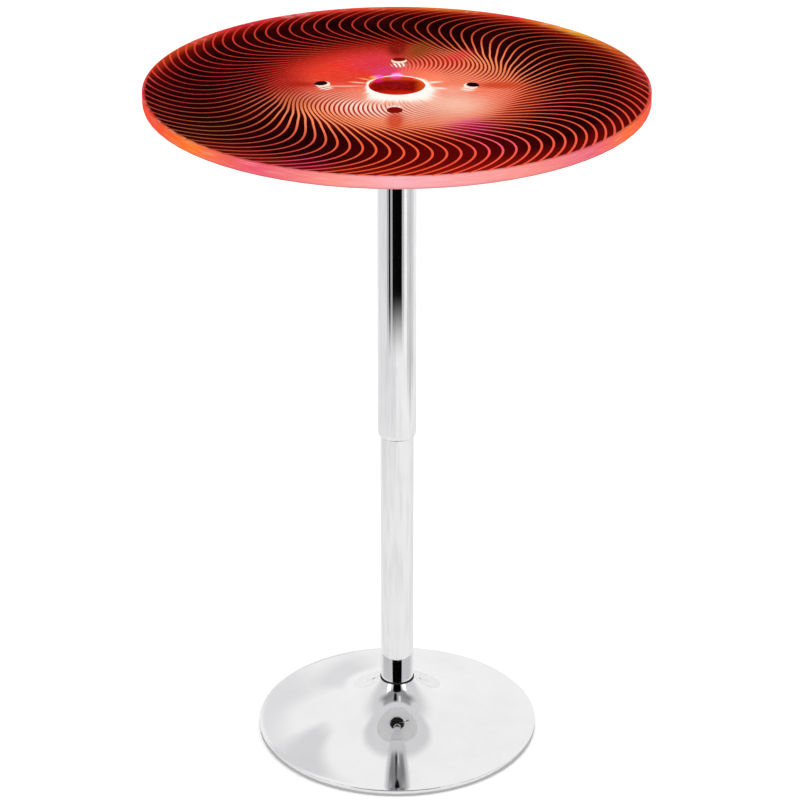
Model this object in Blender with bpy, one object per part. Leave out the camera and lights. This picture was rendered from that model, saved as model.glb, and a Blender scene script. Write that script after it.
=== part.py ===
"""Bar-height table: a lit round acrylic top on a gas-lift column and a chromed trumpet base.

Blender 4.5, metres, +Z up. The origin is on the floor under the middle of the base. The column stands
at its full height. The front is -Y, and the lift lever points to +X.
"""

import math

import bmesh
import bpy

# Fits shared by every piece
GAP = 0.0003
OVERRUN = 0.0020

# The whole table
TABLE_HEIGHT = 0.9440
TOP_DIAMETER = 0.6480
BASE_DIAMETER = 0.3870
COLUMN_DIAMETER = 0.0450

# Base shell and foot ring
RIM_BAND = 0.0080
RIM_LIFT = 0.0015
RIM_CORNER = 0.0010
NECK_HEIGHT = 0.0750
SHELL_WALL = 0.0020
FLARE_SHARE = 0.13
FOOT_WIDTH = 0.0100
NECK_RING_HEIGHT = 0.0022
NECK_RING_WALL = 0.0016

# Hub under the shell
HUB_BASE = 0.0140
HUB_WALL = 0.0045
HUB_ROOM = 0.0080
HUB_TAPER = 0.0010
HUB_PLATE_BASE = 0.0200
HUB_PLATE_THICKNESS = 0.0030

# Column tube and its end plate
COLUMN_WALL = 0.0020
END_PLATE_INSET = 0.0010
END_PLATE_THICKNESS = 0.0040

# Thrust bearing under the rod
STUD_RADIUS = 0.0040
RACE_RADIUS = 0.0125
RACE_THICKNESS = 0.0015
BALL_RADIUS = 0.0020
BALL_COUNT = 6
CAGE_THICKNESS = 0.0018
CAGE_WIDTH = 0.0034
WASHER_RADIUS = 0.0085
WASHER_THICKNESS = 0.0010
CLIP_RADIUS = 0.0075
CLIP_THICKNESS = 0.0010
CLIP_GROOVE_DEPTH = 0.0010
CLIP_MOUTH_DEG = 80
ROD_TAIL = 0.0012
BUMPER_HEIGHT = 0.0120
BUMPER_WALL = 0.0080

# Gas spring
ROD_RADIUS = 0.0050
CYLINDER_RADIUS = 0.0140
CYLINDER_WALL = 0.0015
CYLINDER_ENGAGEMENT = 0.0800
CYLINDER_TAPER = 0.0006
VALVE_BLOCK = 0.0300
VALVE_RADIUS = 0.0030
VALVE_DOME = 0.0010
VALVE_TAIL = 0.0040
ROD_GUIDE_INSET = 0.0010
ROD_GUIDE_LENGTH = 0.0110
PISTON_PLAY = 0.0010
PISTON_HEIGHT = 0.0120
PISTON_BORE = 0.0036
PISTON_RIVET = 0.0020
SEAL_GROOVE = 0.0020
SEAL_HEIGHT = 0.0024
BUSH_LENGTH = 0.1000
BUSH_FLANGE = 0.0020

# Cover tube that slides over the column
COVER_LENGTH = 0.4180
COVER_WALL = 0.0015
COVER_OVERLAP = 0.0530
COVER_END_HEIGHT = 0.0070
LIP_WALL = 0.0007
LIP_HEIGHT = 0.0040
GLIDE_WALL = 0.0014
GLIDE_LENGTH = 0.0150
GLIDE_NOSE_WALL = 0.0005
GLIDE_NOSE_DROP = 0.0012
COLLAR_INSERT = 0.0300
COLLAR_FLANGE = 0.0030

# Bracket and lever under the top
SLEEVE_LENGTH = 0.0300
SLEEVE_WALL = 0.0045
SLEEVE_RECESS = 0.0010
BRACKET_HALF_LENGTH = 0.0400
BRACKET_ROOM = 0.0090
BRACKET_WALL = 0.0025
PIVOT_OFFSET = 0.0300
PIVOT_RADIUS = 0.0030
PIVOT_HEAD_RADIUS = 0.0045
PIVOT_HEAD = 0.0015
BOSS_WALL = 0.0028
BOSS_HALF_WIDTH = 0.0070
FINGER_THICKNESS = 0.0050
FINGER_HALF_WIDTH = 0.0050
FINGER_OVERHANG = 0.0060
LEVER_ROOM = 0.0047
PIN_STAND = 0.0040
LEVER_RADIUS = 0.0040
LEVER_STRAIGHT = 0.0200
LEVER_BEND_RUN = 0.0450
LEVER_DROP = 0.0170
LEVER_REACH = 0.1600
GRIP_LENGTH = 0.0480
GRIP_WALL = 0.0045
GRIP_END = 0.0060
GRIP_WAIST = 0.0012

# Mount plate, fixings and the top
FIXING_CIRCLE = 0.1900
FIXING_COUNT = 4
FIXING_TURN_DEG = -1.6
FIXING_HOLE_RADIUS = 0.0095
PLATE_MARGIN = 0.0175
PLATE_THICKNESS = 0.0040
PLATE_LIP = 0.0060
PLATE_LIP_WALL = 0.0030
TOP_THICKNESS = 0.0143
TOP_CHAMFER = 0.0005
BACKING_THICKNESS = 0.0012
BACKING_INSET = 0.0005
STANDOFF_COLLAR = 0.0025
BOLT_RADIUS = 0.0030
BOLT_HEAD_LAP = 0.0005
BOLT_HEAD_THICKNESS = 0.0012
BOLT_HEAD_CHAMFER = 0.0004
BOLT_TAIL = 0.0015
NUT_RADIUS = 0.0060
NUT_HEIGHT = 0.0050

# Light unit
HOLE_CLEARANCE = 0.0015
CAP_RECESS = 0.0005
CAP_WALL = 0.0015
CAP_CROWN = 0.0012
CAP_EDGE = 0.0016
CAP_TRAVEL = 0.0015
CAP_POST = 0.0030
CAP_POST_RADIUS = 0.0025
SKIRT_WALL = 0.0012
SKIRT_DEPTH = 0.0035
PUCK_FLOOR = 0.0020
PUCK_LEDGE = 0.0006
PUCK_WALL = 0.0015
PUCK_MARGIN = 0.0027
BATTERY_DIAMETER = 0.0105
BATTERY_LENGTH = 0.0437
BATTERY_NIPPLE = 0.0008
BATTERY_NIPPLE_RADIUS = 0.0019
BATTERY_SHOULDER = 0.0006
BATTERY_COUNT = 3
CONTACT_THICKNESS = 0.0005
CONTACT_BUMP = 0.0030
CONTACT_BUMP_RADIUS = 0.0028
CONTACT_TIP_RADIUS = 0.0012
BOARD_THICKNESS = 0.0008
LED_RADIUS = 0.0018
LED_TIP_RADIUS = 0.0012
LED_HEIGHT = 0.0018
LED_COUNT = 12
LED_TURN_DEG = 6.5
SWITCH_HALF_WIDTH = 0.0030
SWITCH_HEIGHT = 0.0025
SPRING_WIRE = 0.0004
SPRING_TURNS = 3
POST_RADIUS = 0.0028
SCREW_RADIUS = 0.0010
SCREW_LENGTH = 0.0060
SCREW_HEAD_RADIUS = 0.0018
SCREW_HEAD = 0.0008
SCREW_RECESS = 0.0002
SCREW_COUNT = 2
SCREW_TURN_DEG = 86

# Segments of the turned pieces, finest where they show
RIM_SEGMENTS = 72
SHELL_SEGMENTS = 48
TUBE_SEGMENTS = 32
RING_SEGMENTS = 24
SMALL_SEGMENTS = 16
PIN_SEGMENTS = 12
NUT_SIDES = 6
SHELL_STEPS = 8
COVER_END_STEPS = 4
LEVER_STEPS = 7
SPRING_STEPS = 10
SPRING_SIDES = 5
CLIP_STEPS = 8
SEARCH_STEPS = 40
SMOOTH_ANGLE_DEG = 35

# Radii worked out from the inside of the column to the outside
TOP_RADIUS = TOP_DIAMETER / 2
SHELL_RADIUS = BASE_DIAMETER / 2
COLUMN_RADIUS = COLUMN_DIAMETER / 2
COLUMN_BORE = COLUMN_RADIUS - COLUMN_WALL
CYLINDER_BORE = CYLINDER_RADIUS - CYLINDER_WALL
NECK_RADIUS = COLUMN_RADIUS + GAP + SHELL_WALL
HUB_RADIUS = COLUMN_RADIUS + GAP + HUB_WALL
LIP_BORE = COLUMN_RADIUS + GAP + GLIDE_NOSE_WALL + GAP
LIP_RADIUS = LIP_BORE + LIP_WALL
COVER_BORE = COLUMN_RADIUS + GAP + GLIDE_WALL + GAP
COVER_RADIUS = COVER_BORE + COVER_WALL
SLEEVE_RADIUS = CYLINDER_RADIUS + GAP + SLEEVE_WALL
BRACKET_HALF_WIDTH = SLEEVE_RADIUS + BRACKET_ROOM + BRACKET_WALL
PLATE_RADIUS = FIXING_CIRCLE / 2 + PLATE_MARGIN
STANDOFF_SHANK = FIXING_HOLE_RADIUS - GAP
BOLT_HEAD_RADIUS = FIXING_HOLE_RADIUS + BOLT_HEAD_LAP

# Light unit, worked out from its cells
BATTERY_RADIUS = BATTERY_DIAMETER / 2
BATTERY_PITCH = BATTERY_DIAMETER + GAP
BATTERY_HALF_LENGTH = (BATTERY_LENGTH + BATTERY_NIPPLE) / 2
CONTACT_FACE = BATTERY_HALF_LENGTH + GAP + CONTACT_BUMP
PACK_HALF_LENGTH = CONTACT_FACE + CONTACT_THICKNESS
PACK_HALF_WIDTH = BATTERY_PITCH * (BATTERY_COUNT - 1) / 2 + BATTERY_RADIUS
PUCK_BORE = math.hypot(PACK_HALF_LENGTH, PACK_HALF_WIDTH) + PUCK_MARGIN
PUCK_RADIUS = PUCK_BORE + PUCK_WALL
SKIRT_RADIUS = PUCK_BORE - GAP
SKIRT_BORE = SKIRT_RADIUS - SKIRT_WALL
LED_CIRCLE = SKIRT_BORE - LED_RADIUS - GAP
HOLE_RADIUS = PUCK_RADIUS + HOLE_CLEARANCE
POST_PLACE = PUCK_BORE - POST_RADIUS + GAP
SPRING_RADIUS = SWITCH_HALF_WIDTH * math.sqrt(2) + SPRING_WIRE + GAP

# Heights worked out downwards from the upper face of the top
TOP_BASE = TABLE_HEIGHT - TOP_THICKNESS
BACKING_TOP = TOP_BASE - GAP
BACKING_BASE = BACKING_TOP - BACKING_THICKNESS
CAP_TOP = TABLE_HEIGHT - CAP_RECESS
CAP_ROOF = CAP_TOP - CAP_WALL
CAP_POST_END = CAP_ROOF - CAP_POST
CAP_FLANGE = CAP_TOP - CAP_CROWN - CAP_EDGE
PUCK_CASE_TOP = CAP_FLANGE - CAP_TRAVEL - GAP
SWITCH_TOP = CAP_POST_END - CAP_TRAVEL - GAP
BOARD_TOP = SWITCH_TOP - SWITCH_HEIGHT
BOARD_BASE = BOARD_TOP - BOARD_THICKNESS
BATTERY_HEIGHT = BOARD_BASE - GAP - BATTERY_RADIUS
PUCK_FLOOR_TOP = BATTERY_HEIGHT - BATTERY_RADIUS - GAP
PUCK_BASE = PUCK_FLOOR_TOP - PUCK_FLOOR
PLATE_TOP = PUCK_BASE - GAP
PLATE_BASE = PLATE_TOP - PLATE_THICKNESS
FINGER_TOP = PLATE_BASE - LEVER_ROOM
PIVOT_HEIGHT = FINGER_TOP - FINGER_THICKNESS / 2
VALVE_TOP = FINGER_TOP - FINGER_THICKNESS - GAP
CYLINDER_TOP = VALVE_TOP - PIN_STAND
BRACKET_BASE = CYLINDER_TOP - SLEEVE_LENGTH
COLLAR_TOP = BRACKET_BASE - GAP
COLLAR_FLANGE_BASE = COLLAR_TOP - COLLAR_FLANGE
COVER_TOP = COLLAR_FLANGE_BASE - GAP
COVER_BASE = COVER_TOP - COVER_LENGTH
COLUMN_TOP = COVER_BASE + COVER_OVERLAP
CYLINDER_BASE = COLUMN_TOP - CYLINDER_ENGAGEMENT
ROD_GUIDE_BASE = CYLINDER_BASE + ROD_GUIDE_INSET
ROD_GUIDE_TOP = ROD_GUIDE_BASE + ROD_GUIDE_LENGTH
PISTON_BASE = ROD_GUIDE_TOP + PISTON_PLAY
PISTON_TOP = PISTON_BASE + PISTON_HEIGHT
SEAL_MIDDLE = (PISTON_BASE + PISTON_TOP) / 2

# Heights worked out upwards from the floor
RIM_TOP = RIM_LIFT + RIM_BAND
END_PLATE_BASE = HUB_BASE + END_PLATE_INSET
END_PLATE_TOP = END_PLATE_BASE + END_PLATE_THICKNESS
LOWER_RACE_TOP = END_PLATE_TOP + GAP + RACE_THICKNESS
BALL_HEIGHT = LOWER_RACE_TOP + GAP + BALL_RADIUS
UPPER_RACE_BASE = BALL_HEIGHT + BALL_RADIUS + GAP
UPPER_RACE_TOP = UPPER_RACE_BASE + RACE_THICKNESS
WASHER_BASE = END_PLATE_BASE - GAP - WASHER_THICKNESS
CLIP_TOP = WASHER_BASE - GAP
CLIP_BASE = CLIP_TOP - CLIP_THICKNESS
ROD_BASE = CLIP_BASE - GAP - ROD_TAIL

# The flare's rate, set so that the shell reaches its neck
FLARE_RISE = NECK_HEIGHT - RIM_TOP + FLARE_SHARE * (SHELL_RADIUS - NECK_RADIUS)
FLARE = FLARE_RISE / math.log(SHELL_RADIUS / NECK_RADIUS)


def clear_scene():
    """Removes what is in the open scene."""
    for thing in list(bpy.data.objects):
        bpy.data.objects.remove(thing, do_unlink=True)


def finish(name, colour, metallic, roughness, transmission=0.0):
    """A plain Principled material."""
    made = bpy.data.materials.new(name)
    made.use_nodes = True
    made.diffuse_color = (*colour, 1.0)
    shader = made.node_tree.nodes["Principled BSDF"]
    shader.inputs["Base Color"].default_value = (*colour, 1.0)
    shader.inputs["Metallic"].default_value = metallic
    shader.inputs["Roughness"].default_value = roughness
    shader.inputs["Transmission Weight"].default_value = transmission
    return made


def mesh_from(name, shape):
    """The finished mesh of a bmesh, shaded smooth but for its real corners."""
    mesh = bpy.data.meshes.new(name)
    shape.to_mesh(mesh)
    shape.free()
    mesh.shade_smooth()
    mesh.set_sharp_from_angle(angle=math.radians(SMOOTH_ANGLE_DEG))
    return mesh


def add_turned(shape, profile, segments, centre=(0, 0)):
    """Adds a solid turned about Z to a bmesh.

    The profile is a closed loop of (radius, height) points, anticlockwise with the radius to the
    right. A radius of zero is one point on the axis.
    """
    rings = []
    for radius, height in profile:
        steps = range(segments) if radius else range(1)
        turns = [2 * math.pi * step / segments for step in steps]
        spots = [(radius * math.cos(turn), radius * math.sin(turn)) for turn in turns]
        rings.append([shape.verts.new((centre[0] + x, centre[1] + y, height)) for x, y in spots])
    for ring, following in zip(rings, rings[1:] + rings[:1]):
        if len(ring) == len(following) == 1:
            continue
        for step in range(segments):
            after = step + 1
            corners = [
                ring[step % len(ring)],
                ring[after % len(ring)],
                following[after % len(following)],
                following[step % len(following)],
            ]
            shape.faces.new(tuple(dict.fromkeys(corners)))


def turned(name, profile, segments):
    """The mesh of one turned solid."""
    shape = bmesh.new()
    add_turned(shape, profile, segments)
    return mesh_from(name, shape)


def turned_group(name, profile, segments, centres):
    """The mesh of one turned shape repeated at several (x, y) places."""
    shape = bmesh.new()
    for centre in centres:
        add_turned(shape, profile, segments, centre)
    return mesh_from(name, shape)


def tube_profile(bore, radius, base, top):
    """The profile of a plain ring or tube."""
    return [(bore, base), (radius, base), (radius, top), (bore, top)]


def disc_profile(radius, base, top):
    """The profile of a plain disc."""
    return [(0, base), (radius, base), (radius, top), (0, top)]


def box(name, low, high):
    """The mesh of a box between two corners."""
    shape = bmesh.new()
    bmesh.ops.create_cube(shape, size=1)
    for vert in shape.verts:
        for axis in range(3):
            vert.co[axis] = high[axis] if vert.co[axis] > 0 else low[axis]
    return mesh_from(name, shape)


def extruded(name, outline, start, end, along):
    """The mesh of a flat outline pushed from start to end along X or Z.

    The outline lists (y, z) or (x, y) points, anticlockwise seen from the far end.
    """
    shape = bmesh.new()
    layers = []
    for depth in (start, end):
        spots = [(depth, a, b) if along == "X" else (a, b, depth) for a, b in outline]
        layers.append([shape.verts.new(spot) for spot in spots])
    low, high = layers
    shape.faces.new(list(reversed(low)))
    shape.faces.new(high)
    for step in range(len(outline)):
        after = (step + 1) % len(outline)
        shape.faces.new((low[step], low[after], high[after], high[step]))
    return mesh_from(name, shape)


def swept(name, route, radius, sides):
    """The mesh of a round rod along a route that lies in the XZ plane, with flat ends."""
    shape = bmesh.new()
    rings = []
    for step, (x, z) in enumerate(route):
        before = route[max(step - 1, 0)]
        after = route[min(step + 1, len(route) - 1)]
        lean = math.atan2(after[1] - before[1], after[0] - before[0])
        ring = []
        for side in range(sides):
            turn = 2 * math.pi * side / sides
            out = radius * math.cos(turn)
            across = radius * math.sin(turn)
            ring.append(shape.verts.new((x - out * math.sin(lean), across, z + out * math.cos(lean))))
        rings.append(ring)
    for ring, following in zip(rings, rings[1:]):
        for side in range(sides):
            after = (side + 1) % sides
            shape.faces.new((ring[after], ring[side], following[side], following[after]))
    shape.faces.new(rings[0])
    shape.faces.new(list(reversed(rings[-1])))
    return mesh_from(name, shape)


def place(name, mesh, material, parent=None, location=(0, 0, 0), rotation=(0, 0, 0)):
    """Puts a sub-part in the scene."""
    piece = bpy.data.objects.new(name, mesh)
    if not mesh.materials:
        mesh.materials.append(material)
    piece.location = location
    piece.rotation_euler = rotation
    piece.parent = parent
    bpy.context.collection.objects.link(piece)
    return piece


def hidden(name, mesh, location=(0, 0, 0), rotation=(0, 0, 0), parent=None):
    """A cutter or a shape to be joined on, which isn't a sub-part."""
    tool = bpy.data.objects.new(name, mesh)
    tool.location = location
    tool.rotation_euler = rotation
    tool.parent = parent
    tool.hide_render = True
    tool.display_type = "WIRE"
    bpy.context.collection.objects.link(tool)
    return tool


def combine(piece, tool, operation):
    """Cuts a tool out of a sub-part, or joins it on."""
    step = piece.modifiers.new(tool.name, "BOOLEAN")
    step.operation = operation
    step.solver = "EXACT"
    step.object = tool


def axis(name, parent=None, location=(0, 0, 0)):
    """An empty on a joint's axis, which carries the pieces that move about it."""
    empty = bpy.data.objects.new(name, None)
    empty.empty_display_size = CYLINDER_RADIUS
    empty.location = location
    empty.parent = parent
    bpy.context.collection.objects.link(empty)
    return empty


def shell_slope(radius):
    """Rise of the shell's outer face for each metre outwards, which is negative."""
    return FLARE_SHARE - FLARE / radius


def shell_height(radius):
    """Height of the shell's outer face: a trumpet flare that falls as a logarithm."""
    return RIM_TOP + FLARE * math.log(SHELL_RADIUS / radius) - FLARE_SHARE * (SHELL_RADIUS - radius)


def shell_under(radius):
    """Height of the shell's inner face straight under a radius of its outer face."""
    return shell_height(radius) - SHELL_WALL * math.hypot(1, shell_slope(radius))


def radius_under(height):
    """Radius at which the shell's inner face comes down to a height."""
    near, far = NECK_RADIUS, SHELL_RADIUS
    for _ in range(SEARCH_STEPS):
        middle = (near + far) / 2
        if shell_under(middle) > height:
            near = middle
        else:
            far = middle
    return near


HUB_TOP = shell_under(HUB_RADIUS) - HUB_ROOM


def shell_radii(far):
    """Radii from the rim to the neck, closer together where the flare bends most."""
    ratio = NECK_RADIUS / far
    return [far * ratio ** (step / SHELL_STEPS) for step in range(SHELL_STEPS + 1)]


def make_base(metal, rubber, steel):
    """The shell, what it stands on and the hub that holds the column."""
    outer = [(radius, shell_height(radius)) for radius in shell_radii(SHELL_RADIUS - RIM_CORNER)]
    inner = [(radius, shell_under(radius)) for radius in reversed(shell_radii(SHELL_RADIUS - SHELL_WALL))]
    profile = [(SHELL_RADIUS, RIM_LIFT), (SHELL_RADIUS, RIM_TOP - RIM_CORNER), *outer]
    profile += [(NECK_RADIUS - SHELL_WALL, NECK_HEIGHT)]
    profile += [(NECK_RADIUS - SHELL_WALL, shell_under(NECK_RADIUS)), *inner[1:]]
    profile += [(SHELL_RADIUS - SHELL_WALL, RIM_LIFT)]
    place("base_shell", turned("base_shell", profile, SHELL_SEGMENTS), metal)

    foot_radius = SHELL_RADIUS - SHELL_WALL - GAP
    foot_top = shell_under(SHELL_RADIUS - SHELL_WALL) - GAP
    foot = tube_profile(foot_radius - FOOT_WIDTH, foot_radius, 0, foot_top)
    place("foot_ring", turned("foot_ring", foot, SHELL_SEGMENTS), rubber)

    ring_base = NECK_HEIGHT + GAP
    ring_bore = COLUMN_RADIUS + GAP
    ring = tube_profile(ring_bore, ring_bore + NECK_RING_WALL, ring_base, ring_base + NECK_RING_HEIGHT)
    place("neck_ring", turned("neck_ring", ring, TUBE_SEGMENTS), rubber)

    hub = [
        (COLUMN_RADIUS - HUB_TAPER + GAP, HUB_BASE),
        (HUB_RADIUS, HUB_BASE),
        (HUB_RADIUS, HUB_TOP),
        (COLUMN_RADIUS + GAP, HUB_TOP),
    ]
    place("hub_socket", turned("hub_socket", hub, RING_SEGMENTS), steel)

    plate_top = HUB_PLATE_BASE + HUB_PLATE_THICKNESS
    plate = tube_profile(HUB_RADIUS + GAP, radius_under(plate_top + GAP), HUB_PLATE_BASE, plate_top)
    place("hub_plate", turned("hub_plate", plate, SHELL_SEGMENTS // 2), steel)


def make_column(metal, steel, plastic):
    """The fixed tube, its end plate and the bush that guides the cylinder."""
    tube = [
        (COLUMN_BORE, HUB_BASE),
        (COLUMN_RADIUS - HUB_TAPER, HUB_BASE),
        (COLUMN_RADIUS, HUB_TOP),
        (COLUMN_RADIUS, COLUMN_TOP),
        (COLUMN_BORE, COLUMN_TOP),
    ]
    place("column_tube", turned("column_tube", tube, TUBE_SEGMENTS), metal)

    bore = STUD_RADIUS + GAP
    plate = tube_profile(bore, COLUMN_BORE - GAP, END_PLATE_BASE, END_PLATE_TOP)
    place("column_end_plate", turned("column_end_plate", plate, SMALL_SEGMENTS), steel)

    race = tube_profile(bore, RACE_RADIUS, END_PLATE_TOP + GAP, LOWER_RACE_TOP)
    place("bearing_lower_race", turned("bearing_lower_race", race, SMALL_SEGMENTS), steel)

    flange_base = COLUMN_TOP + GAP
    flange_top = flange_base + BUSH_FLANGE
    bush = [
        (CYLINDER_RADIUS + GAP, COLUMN_TOP - BUSH_LENGTH),
        (COLUMN_BORE - GAP, COLUMN_TOP - BUSH_LENGTH),
        (COLUMN_BORE - GAP, flange_base),
        (COLUMN_RADIUS - GAP, flange_base),
        (COLUMN_RADIUS - GAP, flange_top),
        (CYLINDER_RADIUS + GAP, flange_top),
    ]
    place("guide_bush", turned("guide_bush", bush, RING_SEGMENTS), plastic)


def ball_profile(radius, height):
    """Half the outline of a ball."""
    turns = [math.radians(angle) for angle in (-90, -45, 0, 45, 90)]
    spots = [(radius * math.cos(turn), height + radius * math.sin(turn)) for turn in turns]
    return [(0, spots[0][1]), *spots[1:-1], (0, spots[-1][1])]


def circle_places(radius, count, start_deg=0.0):
    """(x, y) places spaced evenly round the column's axis."""
    turns = [math.radians(start_deg + 360 * step / count) for step in range(count)]
    return [(radius * math.cos(turn), radius * math.sin(turn)) for turn in turns]


def make_bearing(parent, steel, rubber):
    """The balls in their cage, the race above them and what holds the rod's foot."""
    ball_circle = (STUD_RADIUS + GAP + RACE_RADIUS) / 2
    cage = tube_profile(
        ball_circle - CAGE_WIDTH / 2,
        ball_circle + CAGE_WIDTH / 2,
        BALL_HEIGHT - CAGE_THICKNESS / 2,
        BALL_HEIGHT + CAGE_THICKNESS / 2,
    )
    cage_piece = place("ball_cage", turned("ball_cage", cage, SMALL_SEGMENTS), steel, parent)
    places = circle_places(ball_circle, BALL_COUNT)
    balls = turned_group("balls", ball_profile(BALL_RADIUS, BALL_HEIGHT), NUT_SIDES, places)
    combine(cage_piece, hidden("balls", balls), "UNION")

    bore = STUD_RADIUS + GAP
    race = tube_profile(bore, RACE_RADIUS, UPPER_RACE_BASE, UPPER_RACE_TOP)
    place("bearing_upper_race", turned("bearing_upper_race", race, SMALL_SEGMENTS), steel, parent)

    washer = tube_profile(bore, WASHER_RADIUS, WASHER_BASE, WASHER_BASE + WASHER_THICKNESS)
    place("rod_washer", turned("rod_washer", washer, SMALL_SEGMENTS), steel, parent)

    mouth = math.radians(CLIP_MOUTH_DEG)
    sweep = 2 * math.pi - mouth
    turns = [mouth / 2 + sweep * step / CLIP_STEPS for step in range(CLIP_STEPS + 1)]
    groove = STUD_RADIUS - CLIP_GROOVE_DEPTH + GAP
    outer = [(CLIP_RADIUS * math.cos(turn), CLIP_RADIUS * math.sin(turn)) for turn in turns]
    inner = [(groove * math.cos(turn), groove * math.sin(turn)) for turn in reversed(turns)]
    clip = extruded("rod_clip", outer + inner, CLIP_BASE, CLIP_TOP, "Z")
    place("rod_clip", clip, steel, parent)

    bumper_base = UPPER_RACE_TOP + GAP
    bumper_bore = ROD_RADIUS + GAP
    bumper = tube_profile(bumper_bore, bumper_bore + BUMPER_WALL, bumper_base, bumper_base + BUMPER_HEIGHT)
    place("rod_bumper", turned("rod_bumper", bumper, SMALL_SEGMENTS), rubber, parent)


def make_rod(parent, polished, plastic, rubber):
    """The gas spring's rod, with the piston and the seal at its upper end."""
    stud = STUD_RADIUS
    neck = STUD_RADIUS - CLIP_GROOVE_DEPTH
    shoulder = UPPER_RACE_TOP + GAP
    rivet = PISTON_BORE - GAP
    profile = [
        (0, ROD_BASE),
        (stud, ROD_BASE),
        (stud, CLIP_BASE - GAP),
        (neck, CLIP_BASE - GAP),
        (neck, CLIP_TOP + GAP),
        (stud, CLIP_TOP + GAP),
        (stud, shoulder),
        (ROD_RADIUS, shoulder),
        (ROD_RADIUS, PISTON_BASE - GAP),
        (rivet, PISTON_BASE - GAP),
        (rivet, PISTON_TOP + PISTON_RIVET),
        (0, PISTON_TOP + PISTON_RIVET),
    ]
    place("piston_rod", turned("piston_rod", profile, PIN_SEGMENTS), polished, parent)

    skirt = CYLINDER_BORE - 2 * GAP
    floor = CYLINDER_BORE - GAP - SEAL_GROOVE
    low = SEAL_MIDDLE - SEAL_HEIGHT / 2
    high = SEAL_MIDDLE + SEAL_HEIGHT / 2
    piston = [
        (PISTON_BORE, PISTON_BASE),
        (skirt, PISTON_BASE),
        (skirt, low - GAP),
        (floor - GAP, low - GAP),
        (floor - GAP, high + GAP),
        (skirt, high + GAP),
        (skirt, PISTON_TOP),
        (PISTON_BORE, PISTON_TOP),
    ]
    place("piston", turned("piston", piston, SMALL_SEGMENTS), plastic, parent)

    seal_profile = tube_profile(floor, CYLINDER_BORE - GAP, low, high)
    place("piston_seal", turned("piston_seal", seal_profile, SMALL_SEGMENTS), rubber, parent)


def make_cylinder(parent, painted, plastic):
    """The gas spring's pressure tube, with the rod guide in its lower end."""
    bore = VALVE_RADIUS + GAP
    profile = [
        (CYLINDER_BORE, CYLINDER_BASE),
        (CYLINDER_RADIUS, CYLINDER_BASE),
        (CYLINDER_RADIUS, BRACKET_BASE),
        (CYLINDER_RADIUS - CYLINDER_TAPER, CYLINDER_TOP),
        (bore, CYLINDER_TOP),
        (bore, CYLINDER_TOP - VALVE_BLOCK),
        (CYLINDER_BORE, CYLINDER_TOP - VALVE_BLOCK),
    ]
    place("gas_cylinder", turned("gas_cylinder", profile, RING_SEGMENTS), painted, parent)

    guide = tube_profile(ROD_RADIUS + GAP, CYLINDER_BORE - GAP, ROD_GUIDE_BASE, ROD_GUIDE_TOP)
    place("rod_guide", turned("rod_guide", guide, SMALL_SEGMENTS), plastic, parent)


def make_cover(parent, metal, plastic):
    """The tube that slides over the column, its glide ring and the collar that carries it."""
    turns = [math.pi / 2 * step / COVER_END_STEPS for step in range(COVER_END_STEPS + 1)]
    drop = COVER_RADIUS - LIP_RADIUS
    ends = [
        (LIP_RADIUS + drop * math.sin(turn), COVER_BASE + COVER_END_HEIGHT * (1 - math.cos(turn)))
        for turn in turns
    ]
    profile = [(LIP_BORE, COVER_BASE), *ends, (COVER_RADIUS, COVER_TOP), (COVER_BORE, COVER_TOP)]
    profile += [(COVER_BORE, COVER_BASE + LIP_HEIGHT), (LIP_BORE, COVER_BASE + LIP_HEIGHT)]
    place("cover_tube", turned("cover_tube", profile, TUBE_SEGMENTS), metal, parent)

    bore = COLUMN_RADIUS + GAP
    step_height = COVER_BASE + LIP_HEIGHT + GAP
    glide = [
        (bore, COVER_BASE - GLIDE_NOSE_DROP),
        (bore + GLIDE_NOSE_WALL, COVER_BASE - GLIDE_NOSE_DROP),
        (bore + GLIDE_NOSE_WALL, step_height),
        (bore + GLIDE_WALL, step_height),
        (bore + GLIDE_WALL, step_height + GLIDE_LENGTH),
        (bore, step_height + GLIDE_LENGTH),
    ]
    place("glide_ring", turned("glide_ring", glide, TUBE_SEGMENTS), plastic, parent)

    collar = [
        (CYLINDER_RADIUS + GAP, COVER_TOP - COLLAR_INSERT),
        (COVER_BORE - GAP, COVER_TOP - COLLAR_INSERT),
        (COVER_BORE - GAP, COLLAR_FLANGE_BASE),
        (COVER_RADIUS, COLLAR_FLANGE_BASE),
        (COVER_RADIUS, COLLAR_TOP),
        (CYLINDER_RADIUS + GAP, COLLAR_TOP),
    ]
    place("cover_collar", turned("cover_collar", collar, RING_SEGMENTS), plastic, parent)


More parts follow.
